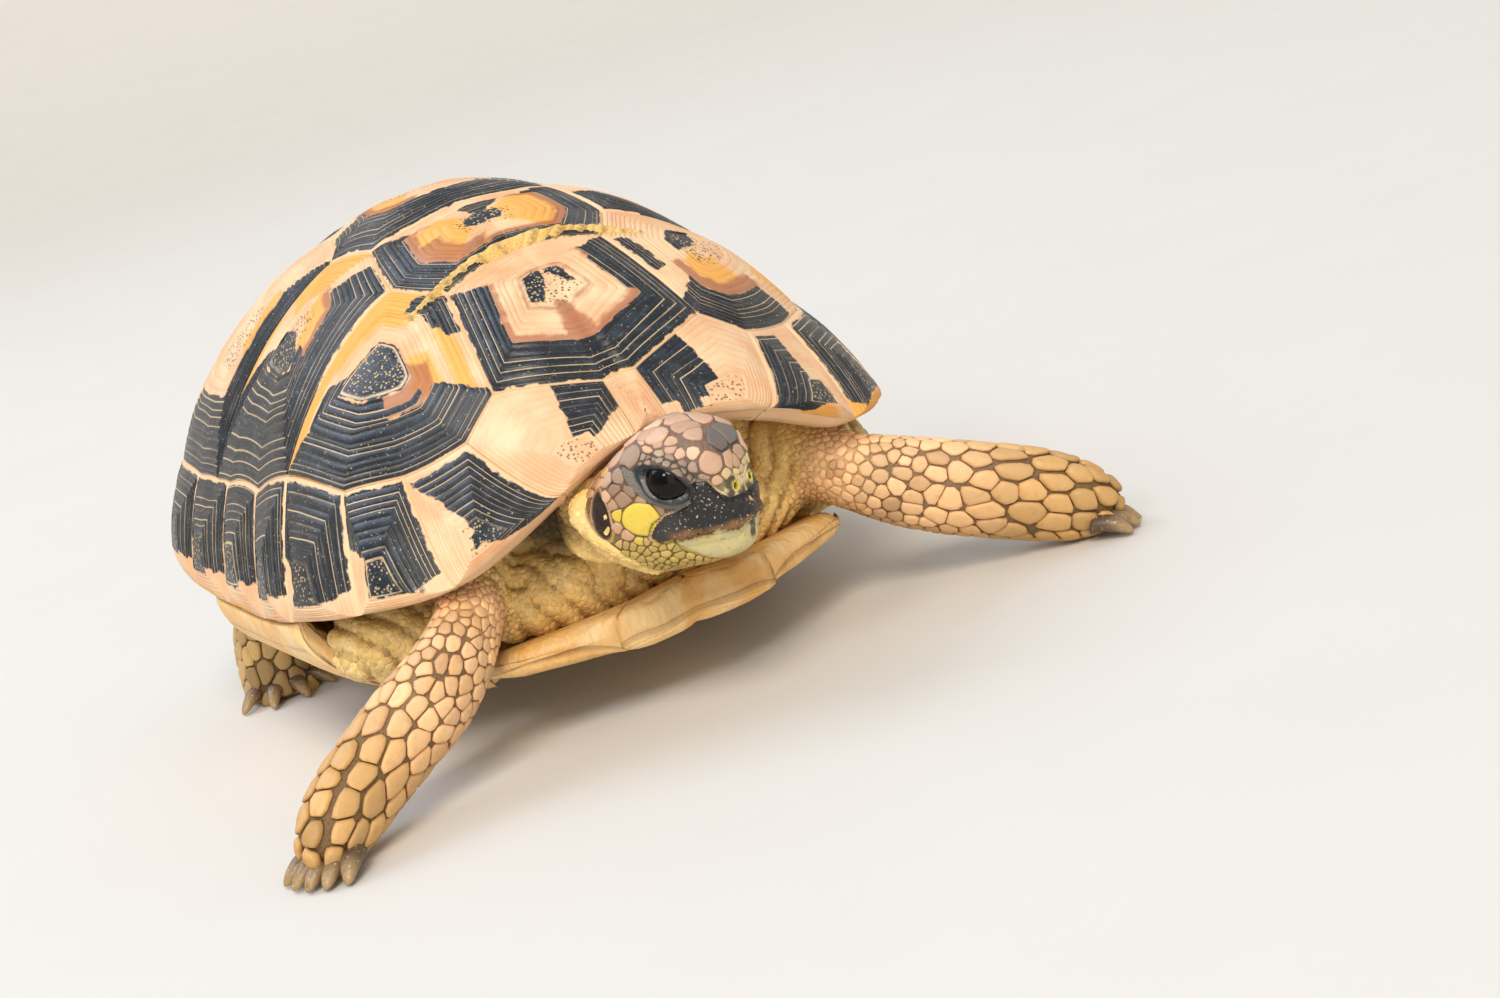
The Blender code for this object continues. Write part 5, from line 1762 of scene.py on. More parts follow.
    def paint(self, local: Array) -> Array:
        """Markings of the head, the same for skin, plates and beak-side skin.

        Args:
            local: head places, three to a row.
        Returns:
            A linear colour for each place.
        """
        b, a, u = local[:, 0], np.abs(local[:, 1]), local[:, 2]
        _, share, height = self.eye_map(local)
        mirrored = np.c_[b, a, u]
        cloud = noise(local, 3.2, 21)
        colour = np.tile(tint("#C9A07C"), (len(local), 1))
        crown = ease(9.5, 13.5, u)
        colour = brush(colour, crown, "#D6AD90")
        colour = brush(colour, crown * ease(0.1, 0.9, cloud) * 0.7, "#8F8178")
        colour = brush(colour, crown * ease(0.45, 1.1, noise(local, 2.0, 22)) * 0.6, "#E6C9A8")
        colour = brush(colour, ease(23.0, 27.0, b) * ease(3.0, 9.0, u) * 0.7, "#B98450")
        for place, size, code, share_in in (((4.4, 1.0, 14.2), 3.0, "#5A6064", 0.85),
                                            ((5.6, 4.6, 11.9), 2.0, "#857A74", 0.6),
                                            ((21.5, 9.9, 11.4), 1.6, "#4A3E38", 0.7),
                                            ((19.6, 10.7, 9.0), 2.4, "#A08069", 0.7),
                                            ((26.0, 6.0, 13.0), 2.2, "#E0B060", 0.7)):
            close = np.linalg.norm(mirrored - place, axis=1) + 0.5 * cloud
            colour = brush(colour, ease(size, size * 0.65, close) * share_in, code)
        # Throat and jaw are olive yellow.
        colour = brush(colour, ease(1.2, -0.8, u + 0.3 * cloud), "#C3A85C")
        colour = brush(colour, ease(-3.5, -6.5, u) * 0.8, "#B8964A")
        colour = brush(colour, ease(6.0, 2.5, b) * ease(-0.3, -1.5, u), "#D2BE86")
        # Yellow about the nostrils, dark between them and the beak.
        nose = self.from_nostril(local)
        colour = brush(colour, ease(4.2, 2.8, nose + 0.6 * cloud) * 0.9, "#DDC795")
        for spot, size in (((1.9, 3.5, 8.2), 1.5), ((1.3, 2.6, 8.6), 0.9), ((1.2, 0.0, 7.7), 0.5),
                           ((1.2, 1.3, 5.6), 1.3), ((1.4, 1.2, 9.9), 0.6), ((1.8, 4.0, 6.2), 0.9)):
            dark = np.linalg.norm(mirrored - spot, axis=1) + 0.25 * noise(local, 1.5, 24)
            colour = brush(colour, ease(size, size * 0.6, dark) * 0.9, "#352B29")
        colour = brush(colour, ease(1.15, 0.85, nose + 0.2 * cloud), "#DCC860")
        colour = brush(colour, ease(0.64, 0.52, nose), "#0A0604")
        # Lore and the ring of the lids.
        colour = brush(colour, ease(9.2, 7.6, b) * ease(4.0, 5.5, b) * ease(10.5, 9.0, u)
                       * ease(3.5, 5.0, u) * 0.85, "#4D4540")
        colour = brush(colour, ease(2.1, 1.7, share) * 0.8, "#86786A")
        lower = ease(0.0, -0.3, height)
        colour = brush(colour, ease(1.95, 1.7, share + 0.1 * cloud) * lower, "#77716C")
        colour = brush(colour, ease(1.32, 1.16, share), "#2B2F33")
        colour = brush(colour, ease(1.05, 1.0, share) * ease(0.93, 0.98, share) * lower, "#4A5054")
        # The large yellow scale behind the mouth's corner, and its small neighbours.
        colour = brush(colour, ease(3.0, 2.7, np.linalg.norm(mirrored - self.cheek, axis=1)), "#DCC24C")
        for place, size, code in (((21.7, 11.0, 5.1), 1.3, "#D4B843"), ((20.6, 10.7, 1.9), 1.1, "#C9A07C"),
                                  ((24.0, 11.0, 1.4), 0.9, "#CDB04A"), ((18.9, 10.1, 0.2), 0.9, "#D2B94E")):
            colour = brush(colour, ease(size, size * 0.85, np.linalg.norm(mirrored - place, axis=1)), code)
        return brush(colour, ease(1.25, 0.95, self.from_ear(local) + 0.12 * cloud), "#2A1D12")

    def fields(self, points: Array, normals: Array) -> tuple[Array, Array, Array]:
        """Size, stretch and lie of the head's plates at places of the skin.

        Args:
            points: places in millimetres, three to a row.
            normals: not used here; the body's scales need them.
        Returns:
            Size of the plates, 0 where there are none, their stretch, and the way they lie.
        """
        local = self.frame.into(points)
        b, a, u = local[:, 0], np.abs(local[:, 1]), local[:, 2]
        _, share, height = self.eye_map(local)
        size = np.full(len(points), 2.3)
        size = np.where(u > 12.5, 3.4, size)
        size = np.where((u > 15) & (b > 8) & (b < 21), 4.4, size)
        size = np.where(b > 24.5, 2.1, size)
        size = np.where((b < 3.6) & (u < 10.5), 1.7, size)
        size = np.where(u < 0.8, 1.5, size)
        size = np.where((u < -4.2) | ((u < 0) & (b > 23)), 1.25, size)
        size = np.where((share < 2.6) & (b < 17), 1.7, size)
        bare = (share < 1.2) | ((share < 1.75) & (height < -0.15))
        bare |= polygon_depth(b, u, self.upper_beak) > -0.45
        bare |= polygon_depth(b, u, self.lower_beak) > -0.45
        bare |= self.from_ear(local) < 1.3
        bare |= (self.from_nostril(local) < 2.2) | ((a < 2.5) & (u < 8.5) & (b < 4))
        bare |= (self.past_fold(local) > -0.9) | ((np.abs(u - 0.2) < 0.4) & (b < 17))
        lie = np.tile(self.frame.axes()[0], (len(points), 1))
        return np.where(bare, 0, size), np.full(len(points), 1.12), lie

    def hand_set(self, local: Array) -> tuple:
        """Plates whose place is fixed: lid beads, snout shields and cheek scales.

        Args:
            local: places of the sculpted head.
        Returns:
            For each plate its place in the shell's frame, and its size.
        """
        along, across, out = self.eye_axes()
        wanted = []
        for ring, count, size in ((1.34, 13, 1.05), (1.80, 11, 1.5)):
            for k in range(count):
                turn = math.radians(8 + 160 * k / (count - 1))
                x = math.cos(turn) * self.slit[0] * ring
                y = math.sin(turn) * self.slit[1] * ring
                run = math.hypot(x, y)
                d = (along * x + across * y) / run * math.sin(run / self.eye_radius)
                d += out * math.cos(run / self.eye_radius)
                wanted.append((np.array(self.frame.eye_place) + d * self.eye_radius * 1.1, size))
        wanted += [(np.array(p), s) for p, s in (
            ((4.8, 4.4, 12.4), 4.3), ((5.2, 1.9, 14.6), 3.8), (self.cheek, 6.7), ((21.7, 11.0, 5.1), 3.0),
            ((20.6, 10.7, 1.9), 3.0), ((24.0, 11.0, 1.4), 2.0), ((18.9, 10.1, 0.2), 1.8),
            ((20.0, 10.7, 8.4), 3.2), ((2.6, 1.9, 11.7), 2.6), ((9.2, 2.6, 17.6), 4.2))]
        tree = Patchwork.tree_of(local)
        fixed = []
        for side in (1, -1):
            for place, size in wanted:
                spot = tree.find(place * np.array([1, side, 1]))[0]
                fixed.append((self.frame.out(np.array(spot)[None])[0], size))
        return tuple(fixed)

    def sheath(self, local: Array, faces: Array, corners: tuple, low_edge: bool) -> tuple:
        """Numbers of one horn sheath over the skin of the snout.

        Args:
            local: places of the sculpted head.
            faces: its faces.
            corners: the sheath's outline seen from the side.
            low_edge: whether it hangs over the mouth; else it stands up inside it.
        Returns:
            Points in the shell's frame, faces, and colours.
        """
        normal = normals_of(local, faces)
        b, a, u = local[:, 0], np.abs(local[:, 1]), local[:, 2]
        depth = polygon_depth(b, u, corners)
        lip = u < 1.6 if low_edge else u > -1.4
        lip &= b < 16
        chosen = np.where(lip, depth > 0, depth > -0.35)
        chosen = faces[chosen[faces].all(1) & (faces[:, 2] != faces[:, 3])]
        used, index = np.unique(chosen, return_inverse=True)
        chosen = index.reshape(-1, 4)
        rise = np.where(lip, 0.62, 0.62 * ease(-0.35, 0.6, depth) - 0.12)
        if low_edge:
            rise = rise + 0.25 * ease(2.4, 0.8, u) * ease(14, 9, b)
            rise = rise + 0.10 * np.sin(b * 2 * math.pi / 0.8) * ease(1.7, 0.9, u) * (b < 13)
        rise = rise + 0.05 * noise(local, 1.4, 31)
        outer = (local + normal * rise[:, None])[used]
        inner = (local - normal * 0.9)[used]
        count = len(used)
        sides = np.concatenate([chosen[:, [k, (k + 1) % 4]] for k in range(4)])
        keys = {(int(p), int(q)) for p, q in sides}
        rim = np.array([(p, q) for p, q in keys if (q, p) not in keys])
        wall = np.c_[rim[:, 1], rim[:, 0], rim[:, 0] + count, rim[:, 1] + count]
        solid = np.concatenate([chosen, chosen[:, ::-1] + count, wall])
        points = np.concatenate([outer, inner])
        if low_edge:
            colour = np.tile(tint("#120E0C"), (len(used), 1))
            grey = ease(8.5, 11.5, b[used]) * 0.35
            colour = brush(colour, grey, "#4A4648")
            edge = ease(2.1, 0.9, u[used] + 0.25 * noise(local[used], 1.2, 33)) * ease(14.5, 12.0, b[used])
            colour = brush(colour, edge * 0.9, "#8A6034")
        else:
            colour = np.tile(tint("#CDBE82"), (len(used), 1))
            colour = brush(colour, ease(0.3, 1.0, noise(local[used], 3.5, 34)) * 0.5, "#B9B388")
            mark = ease(0.95, 0.6, a[used]) * ease(-3.6, -2.8, u[used])
            colour = brush(colour, mark * 0.9, "#2B241F")
            colour = brush(colour, ease(-3.8, -5.8, u[used]) * 0.6, "#A98B4C")
        points = self.frame.out(points)
        return points, outward(points, solid), np.concatenate([colour, colour])

    def build(self, coat: Coat) -> tuple[Array, Array, Array, Array]:
        """Dress the head; its skin is handed back to be joined to the body's.

        Args:
            coat: raises the plates.
        Returns:
            Points, faces, colours and wetness of the head's skin.
        """
        plain, faces = self.grid()
        faces = outward(self.frame.out(plain), faces)
        flipped = outward(plain, faces)
        local = self.sculpt(plain, flipped)
        horn = BeakHorn().make()
        for name, corners, low, nodes in (("upper_beak", self.upper_beak, True, ()),
                                          ("lower_beak", self.lower_beak, False, ("lower_jaw",))):
            points, solid, colour = self.sheath(local, flipped, corners, low)
            settle(self.model.piece(name, points, solid, horn, {"paint": colour}), "beak_horn", *nodes)
        self.eyes()
        points = self.frame.out(local)
        hide = (points, faces, normals_of(points, faces))
        work = Patchwork(hide, self.fields, 71, self.hand_set(local), gap=0.15)
        shapes = work.outlines()
        roots = self.frame.into(work.roots)
        size = work.size
        beads = (roots[:, 2] < 0.8) | (size < 1.7)
        height = np.where(beads, 0.30 + 0.14 * size, 0.24 + 0.06 * size) + work.bulge(shapes)
        colour = self.paint(roots)
        wink = hashed(np.floor(roots * 50).astype(int), 5)[:, None]
        colour = colour * (0.80 + 0.34 * wink)
        middle = self.section(roots[:, 0])[:, 3]
        turn = np.arctan2(roots[:, 2] - middle, roots[:, 1]) / (2 * math.pi) % 1
        chart = np.c_[0.02 + roots[:, 0] / 34, 0.02 + turn * 0.96]
        rise = work.normals * height[:, None] + work.lie * (height * 0.12)[:, None]
        chosen = np.flatnonzero(work.whole & (self.from_ear(roots) > 1.32))
        coat.grow("coat_head", work, shapes, chosen, rise[chosen], colour[chosen], chart[chosen], 1.0)
        share = self.eye_map(local)[1]
        colour = self.paint(local)
        scaled = ease(0.2, 0.6, self.fields(points, hide[2])[0])[:, None]
        colour = colour * (1 - 0.68 * scaled)
        return points, faces, colour, ease(1.3, 1.1, share)

    def eyes(self) -> None:
        """Both eyeballs, with the cornea standing out a little."""
        finish = EyeBall().make()
        out = self.eye_axes()[2] + np.array([-0.05, 0, 0.04])
        rings, columns = 56, 72
        for side, word in ((1, "left"), (-1, "right")):
            gaze = unit(out * np.array([1, side, 1]))
            first = unit(np.cross(gaze, [0, 0, 1.0]))
            second = np.cross(gaze, first)
            turn = np.linspace(0, 2 * math.pi, columns, endpoint=False)
            fall = np.linspace(0, math.pi, rings + 2)[1:-1]
            radius = self.eye_radius - 0.06 + 0.22 * ease(0.85, 0.45, fall)
            flat = (np.sin(fall) * radius)[:, None, None] * (
                first * np.cos(turn)[:, None] + second * np.sin(turn)[:, None])
            ball = flat + ((np.cos(fall) * radius)[:, None] * gaze)[:, None]
            ends = np.stack([gaze * (self.eye_radius + 0.16), -gaze * (self.eye_radius - 0.06)])
            local = np.concatenate([ball.reshape(-1, 3), ends])
            local = local + np.array(self.frame.eye_place) * np.array([1, side, 1])
            points = self.frame.out(local)
            solid = said_once(outward(points, four_sided(tube_faces(rings, columns))))
            reach = np.r_[np.repeat(np.sin(fall) * radius, columns), 0, 9]
            reach[:-1] = np.where(np.r_[np.repeat(fall, columns), 0] > 1.5, 9, reach[:-1])
            settle(self.model.piece(f"eyeball_{word}", points, solid, finish, {"gaze": reach}),
                   "eye", f"eye_{word}")

    def nape(self) -> list[tuple[Array, list]]:
        """Shells for the body's skin: the back of the head and the thick neck fold.

        Returns:
            Points and faces of each shell.
        """
        rings, columns, loop = 26, 72, 12
        turns = np.linspace(0, 2 * math.pi, columns, endpoint=False)
        rows = []
        for b in np.linspace(19.0, 31.5, rings):
            ring = self.around(np.full(columns, b), turns)
            middle = np.array([b, 0, self.section(np.array([b]))[0, 3]])
            rows.append(middle + (ring - middle) * (1 - 0.85 / 10))
        local = np.concatenate([*rows, [[19.0, 0, 4]], [[31.5, 0, 3]]])
        shells = [(self.frame.out(local), [face[::-1] for face in tube_faces(rings, columns)])]
        b = np.full(columns, 26.0)
        for _ in range(6):
            line = self.around(b, turns)
            b = np.interp(line[:, 2], self.fold_up, self.fold_behind)
        line[:, 0] = b
        middle = np.array([27.0, 0, 2.5])
        out = unit((line - middle) * np.array([0, 1, 1]))
        for roll, radius, back, sink in ((0, 1.35, 0.0, 0.75), (1, 1.2, 2.6, 1.1)):
            ring = line - out * sink + np.array([back, 0, 0])
            swell = radius * (1 + 0.16 * noise(ring, 5.0, 40 + roll))[:, None, None]
            angle = np.linspace(0, 2 * math.pi, loop, endpoint=False)[None, :, None]
            tube = ring[:, None] + swell * (np.cos(angle) * out[:, None]
                                            + np.sin(angle) * np.array([1.0, 0, 0]))
            faces = strip_faces(columns + 1, loop)[:columns * loop] % (columns * loop)
            shells.append((self.frame.out(tube.reshape(-1, 3)), faces.tolist()))
        return shells


# ---- the body ---------------------------------------------------------------
@dataclass
class Flesh:
    """Limbs, neck, tail and the trunk's ends under one skin, and the scales on it."""

    model: Model
    head: Head
    voxel: float = 0.76                  # width of the skin's faces
    foreleg_right: tuple = ((29, -44, 22, 17, 15), (35, -54, 19, 16, 13.5), (42, -63, 14, 17, 13),
                            (50.5, -66.5, 8.2, 19, 14), (59.5, -66.5, 3.2, 19, 14.5),
                            (69, -69, -1.2, 18.5, 14.5), (77, -72.5, -5, 16.5, 14),
                            (82, -75.5, -7.8, 12.5, 11))
    foreleg_left: tuple = ((29, -44, 22, 17, 15), (35.5, -53.5, 18.5, 16, 13.5),
                           (42, -61.5, 13.5, 16.5, 13), (50.5, -66, 8.2, 19.5, 14),
                           (60.5, -71, 3.2, 20.5, 14.5), (70, -75.5, -1.2, 20, 14.5),
                           (77.5, -79.5, -5, 17.5, 14), (82, -82, -7.8, 12.5, 11))
    hindleg: tuple = ((28, 42, 20, 22, 20), (36, 47, 15, 22, 19), (43, 51.5, 8.5, 21, 18.5),
                      (48, 54, 1, 19.5, 18), (50, 54.5, -6, 18.5, 17.5), (50.5, 54, -13, 19, 18))
    neck: tuple = ((-4.5, -60, 25.2, 23, 24), (-7, -64.5, 25.8, 21, 22), (-10, -69.5, 26.6, 19.5, 20.5),
                   (-12.6, -74, 27.5, 18.5, 19.5))
    tail: tuple = ((0, 60, 16, 17, 14), (0.6, 67, 12, 14, 12), (2, 74, 7, 10.5, 9), (4.5, 80, 2.5, 7, 6.5),
                   (7.5, 84, 0, 3.6, 3.4), (9.5, 86, -1, 1.2, 1.2))
    # Loose skin in the shell's openings: middle and reach of each egg.
    pouches_front: tuple = ((12, -51, 12.5, (26, 9.5, 9)), (41, -35, 12.5, (18.5, 18, 10.5)))
    pouches_rear: tuple = ((10, 52, 12, (22, 9, 9)), (40, 41, 13, (17, 17, 10.5)))
    painted_shade_middle: tuple = (18.0, -60.0, 26.5)  # deepest place beside the neck, under the shell's rim, where painted shade is laid
    claw_rings: int = 15
    claw_columns: int = 14
    limbs: list = field(init=False)

    def __post_init__(self) -> None:
        """Lay out the limbs; each with its zone and the ends of the trunk that it leaves."""
        fore, hind = (0, -0.35, 1), (0, 1, 0.2)
        self.limbs = [(Zone.FORELEG, Limb("foreleg_right", -1, fore, self.foreleg_right)),
                      (Zone.FORELEG, Limb("foreleg_left", 1, fore, self.foreleg_left)),
                      (Zone.NECK, Limb("neck", 1, (0, 0, 1), self.neck)),
                      (Zone.HINDLEG, Limb("hindleg_right", -1, hind, self.hindleg)),
                      (Zone.HINDLEG, Limb("hindleg_left", 1, hind, self.hindleg)),
                      (Zone.TAIL, Limb("tail", 1, (0, 0, 1), self.tail))]

    def survey(self, points: Array) -> dict[str, Array]:
        """Zone, limb number, run, angle and lie at places near the skin.

        Args:
            points: places in millimetres, three to a row.
        Returns:
            One value for each place, by word.
        """
        best = np.full(len(points), 1.42)
        found = {"zone": np.full(len(points), Zone.TRUNK.value), "limb": np.full(len(points), -1),
                 "run": np.zeros(len(points)), "angle": np.zeros(len(points)),
                 "lie": np.tile([0.0, 0.0, -1.0], (len(points), 1))}
        for k, (zone, limb) in enumerate(self.limbs):
            run, angle, ahead, share = limb.locate(points)
            share = np.where(run < -1.0, 9.0, share)
            mine = share < best
            best = np.where(mine, share, best)
            for word, value in (("zone", zone.value), ("limb", k), ("run", run), ("angle", angle)):
                found[word] = np.where(mine, value, found[word])
            found["lie"] = np.where(mine[:, None], ahead, found["lie"])
        return found

    def trunk(self, front: bool) -> tuple[Array, list]:
        """The trunk's front or rear end, from the solid model.

        Args:
            front: whether the front end is wanted.
        Returns:
            Points in millimetres, and faces.
        """
        solid = bpy.data.objects["trunk"]
        places = np.array([solid.matrix_world @ v.co for v in solid.data.vertices])
        places = (places - self.model.shift) / MM
        keys: dict = {}
        index = [keys.setdefault(tuple(np.round(p, 3)), len(keys)) for p in places]
        points = np.array(list(keys))
        faces = [[index[k] for k in face.vertices] for face in solid.data.polygons]
        middle = -38.0 if front else 36.0
        if front:
            points[:, 1] = np.minimum(points[:, 1], middle)
        else:
            points[:, 1] = np.maximum(points[:, 1], middle)
        return points, faces

    def fields(self, points: Array, normals: Array) -> tuple[Array, Array, Array]:
        """Size, stretch and lie of the scales at places of the skin; 0 where there are none.

        Args:
            points: places in millimetres, three to a row.
            normals: unit normals of the skin there.
        Returns:
            Size, stretch and lie at each place.
        """
        seen = self.survey(points)
        run, zone = seen["run"], seen["zone"]
        facing = normals @ unit(np.array([0, -0.86, 0.5]))
        size = np.full(len(points), 1.45)
        stretch = np.full(len(points), 1.0)
        fore = zone == Zone.FORELEG.value
        plate = np.interp(run, (16, 21, 30, 42, 56, 70), (1.25, 1.6, 2.5, 3.3, 4.2, 3.6))
        inner = np.interp(run, (16, 24, 45, 70), (1.2, 1.4, 2.0, 2.6))
        front = ease(-0.35, 0.55, facing)
        size = np.where(fore, inner + (plate - inner) * front, size)
        stretch = np.where(fore, 1 + 0.45 * ease(22, 58, run), stretch)
        hind = zone == Zone.HINDLEG.value
        size = np.where(hind, np.interp(run, (0, 12, 30, 40), (1.6, 2.2, 3.4, 3.6)), size)
        stretch = np.where(hind, 1.2, stretch)
        tail = zone == Zone.TAIL.value
        size = np.where(tail, np.interp(run, (0, 16, 30), (1.8, 2.1, 1.4)), size)
        neck = zone == Zone.NECK.value
        size = np.where(neck, 1.3, size)
        y, z = points[:, 1], points[:, 2]
        trunk = zone == Zone.TRUNK.value
        hidden = trunk & ((np.abs(y) < 33) | (np.abs(y) < 56) & (z > 24) | (z < 4))
        hidden |= (fore | hind) & (run < 2) | (z < SOLE + 0.9)
        local = self.head.frame.into(points)
        hidden |= (self.head.past_fold(local) < -0.3) & (y < -64) & (np.abs(local[:, 1]) < 12.5) & (
            local[:, 2] > -9)
        hidden |= (self.head.from_ear(local) < 1.6) & (local[:, 0] < 27.5)
        return np.where(hidden, 0, size), stretch, seen["lie"]

    def paint(self, points: Array, normals: Array) -> Array:
        """Markings of the body's skin and scales.

        Args:
            points: places in millimetres, three to a row.
            normals: unit normals of the skin there.
        Returns:
            A linear colour for each place.
        """
        seen = self.survey(points)
        run, zone = seen["run"], seen["zone"]
        cloud = noise(points, 8.0, 51)
        colour = np.tile(tint("#F0CC80"), (len(points), 1))
        colour = brush(colour, ease(0.1, 1.0, cloud) * 0.35, "#C09A4C")
        colour = brush(colour, ease(0.0, 1.0, noise(points, 5.0, 52)) * 0.5, "#F2D595")
        facing = normals @ unit(np.array([0, -0.86, 0.5]))
        fore = (zone == Zone.FORELEG.value) * ease(14, 20, run)
        colour = brush(colour, fore, "#D0A26C")
        # The side of the foreleg facing front and up is painted lighter, a painted highlight, and the side
        # facing away darker, painted shade.
        colour = brush(colour, fore * ease(-0.2, 0.5, facing), "#F6C793")
        colour = brush(colour, fore * ease(0.2, 1.0, noise(points, 6.0, 53)) * 0.5, "#B98A54")
        colour = brush(colour, fore * ease(-0.1, -0.7, facing) * 0.7, "#8E6A40")
        colour = brush(colour, fore * ease(36, 62, run) * 0.75, "#C09450")
        hind = (zone == Zone.HINDLEG.value) * ease(4, 10, run)
        colour = brush(colour, hind * 0.7, "#B08A54")
        colour = brush(colour, hind * ease(0.1, 0.9, cloud) * 0.5, "#6E5638")
        colour = brush(colour, (zone == Zone.TAIL.value) * 0.6, "#A08048")
        wave, loose = self.pleats(points)
        # The creases of the pleats are painted darker, as painted shade.
        colour = brush(colour, loose * ease(0.65, 0.2, wave) * 0.6, "#7A582A")
        # Painted shade: the hollow beside the neck, under the shell's rim, is painted near black.
        deep = (np.c_[np.abs(points[:, 0]), points[:, 1:]] - self.painted_shade_middle) / (1.3, 1.6, 1.0)
        deep = np.linalg.norm(deep, axis=1)
        return brush(colour, ease(9.0, 4.5, deep + 0.8 * cloud) * 0.9, "#1C120A")

    @staticmethod
    def pouch(middle: tuple, reach: tuple) -> tuple[Array, list]:
        """An egg of loose skin that closes the shell's opening round a limb.

        Args:
            middle: its middle.
            reach: its half width along each axis.
        Returns:
            Points and faces.
        """
        rings, columns = 20, 28
        fall, turn = np.meshgrid(np.linspace(0.02, math.pi - 0.02, rings),
                                 np.linspace(0, 2 * math.pi, columns, endpoint=False), indexing="ij")
        ball = np.stack([np.sin(fall) * np.cos(turn), np.sin(fall) * np.sin(turn), np.cos(fall)], -1)
        points = np.concatenate([ball.reshape(-1, 3), [[0, 0, 1], [0, 0, -1]]]) * reach + middle
        return points, tube_faces(rings, columns)

    def pleats(self, points: Array) -> tuple[Array, Array]:
        """Loose skin where limbs and neck come out of the shell.

        Args:
            points: places on the skin.
        Returns:
            The height of its pleats, 0 in a crease and 1 on a crest, and how loose it is.
        """
        seen = self.survey(points)
        run, zone = seen["run"], seen["zone"]
        sway = 2.2 * noise(points, 18.0, 61, 1) + 0.3 * noise(points, 5.0, 62, 1)
        slant = np.abs(points[:, 0]) * 0.85 - points[:, 2] * 0.5
        along = np.where(zone == Zone.TRUNK.value, slant, run)
        wave = np.abs(np.sin(math.pi * (along + sway) / 4.1)) ** 0.6
        limb = (zone == Zone.FORELEG.value) | (zone == Zone.HINDLEG.value)
        loose = np.where(limb, ease(19, 12, run), np.where(zone == Zone.TAIL.value, 0, 1.0))
        loose = loose * ease(-4.0, 0.5, self.head.past_fold(self.head.frame.into(points)))
        return wave, loose

    def folds(self, points: Array, faces: Array) -> Array:
        """Sculpt the pleats into the skin.

        Args:
            points: places in millimetres, three to a row.
            faces: four point numbers for each face.
        Returns:
            The new places.
        """
        wave, loose = self.pleats(points)
        depth = loose * 1.7 * (wave - 0.85) + 0.08 * noise(points, 3.0, 63)
        return points + normals_of(points, faces) * depth[:, None]

    def skin(self, front: bool) -> tuple[Array, Array]:
        """The shape of the front or the rear skin.

        Args:
            front: whether the front skin is wanted.
        Returns:
            Points in millimetres, and four-sided faces.
        """
        limbs = self.limbs[:3] if front else self.limbs[3:]
        shells = [self.trunk(front)]
        eggs = self.pouches_front if front else self.pouches_rear
        shells += [self.pouch((x * side, y, z), reach) for x, y, z, reach in eggs for side in (1, -1)]
        for zone, limb in limbs:
            full = np.interp(limb.run, (0, 14, 26, 60), (0.45, 0.5, 0.8, 1.0))
            inset = full if zone is Zone.FORELEG else np.full(limb.steps, 0.5)
            inset = np.minimum(inset, limb.thick * 0.2)
            shells.append(limb.tube(inset, dome=2.6 if zone is Zone.FORELEG else 0.4))
        if front:
            shells += self.head.nape()
        points, faces = melted(shells, self.voxel)
        points = relaxed(points, faces, 7)
        faces = outward(points, faces)
        points = self.folds(points, faces)
        points[:, 2] = np.maximum(points[:, 2], SOLE + 0.02)
        return relaxed(points, faces, 1), faces

    def dress(self, word: str, points: Array, faces: Array, coat: Coat, seed: int) -> None:
        """Cover one skin in scales, one coat piece for each limb.

        Args:
            word: front or rear.
            points: the skin's points.
            faces: its faces.
            coat: raises the scales.
            seed: picks another scatter of scales.
        """
        hide = (points, faces, normals_of(points, faces))
        work = Patchwork(hide, self.fields, seed, gap=0.14)
        shapes = work.outlines()
        seen = self.survey(work.roots)
        LOG.info("%d scales on the %s skin", len(shapes), word)
        size, run = work.size, seen["run"]
        height = 0.22 + 0.19 * size
        soft = (seen["zone"] == Zone.TRUNK.value) | (seen["zone"] == Zone.NECK.value)
        height = np.where(soft | (run < 14), 0.12 + 0.08 * size, height) + work.bulge(shapes)
        height = np.minimum(height, np.maximum(work.roots[:, 2] - SOLE, 0.03))
        lean = 0.25 + 0.5 * ease(28, 60, run)
        lean = np.where(soft, 0.1, lean)
        rise = work.normals * height[:, None] + work.lie * (height * lean)[:, None]
        colour = self.paint(work.roots, work.normals)
        soil = np.where(soft | (run < 14), 0.55, 1.0)
        wink = hashed(np.floor(work.roots * 50).astype(int), seed)[:, None]
        colour = colour * (0.78 + 0.36 * wink)
        for k, limb in [*enumerate(limb for _, limb in self.limbs), (-1, None)]:
            chosen = np.flatnonzero((seen["limb"] == k) & work.whole)
            if not len(chosen):
                continue
            name = limb.name if limb else f"{word}_trunk"
            if limb:
                chart = np.c_[0.03 + run[chosen] / limb.run[-1] * 0.8,
                              0.02 + (seen["angle"][chosen] / (2 * math.pi) % 1) * 0.96]
            else:
                flat = work.roots[chosen]
                chart = np.c_[0.5 + flat[:, 0] / 130, 0.2 + flat[:, 2] / 90]
            coat.grow(f"coat_{name}", work, shapes, chosen, rise[chosen], colour[chosen],
                      np.clip(chart, 0.01, 0.99), soil[chosen])

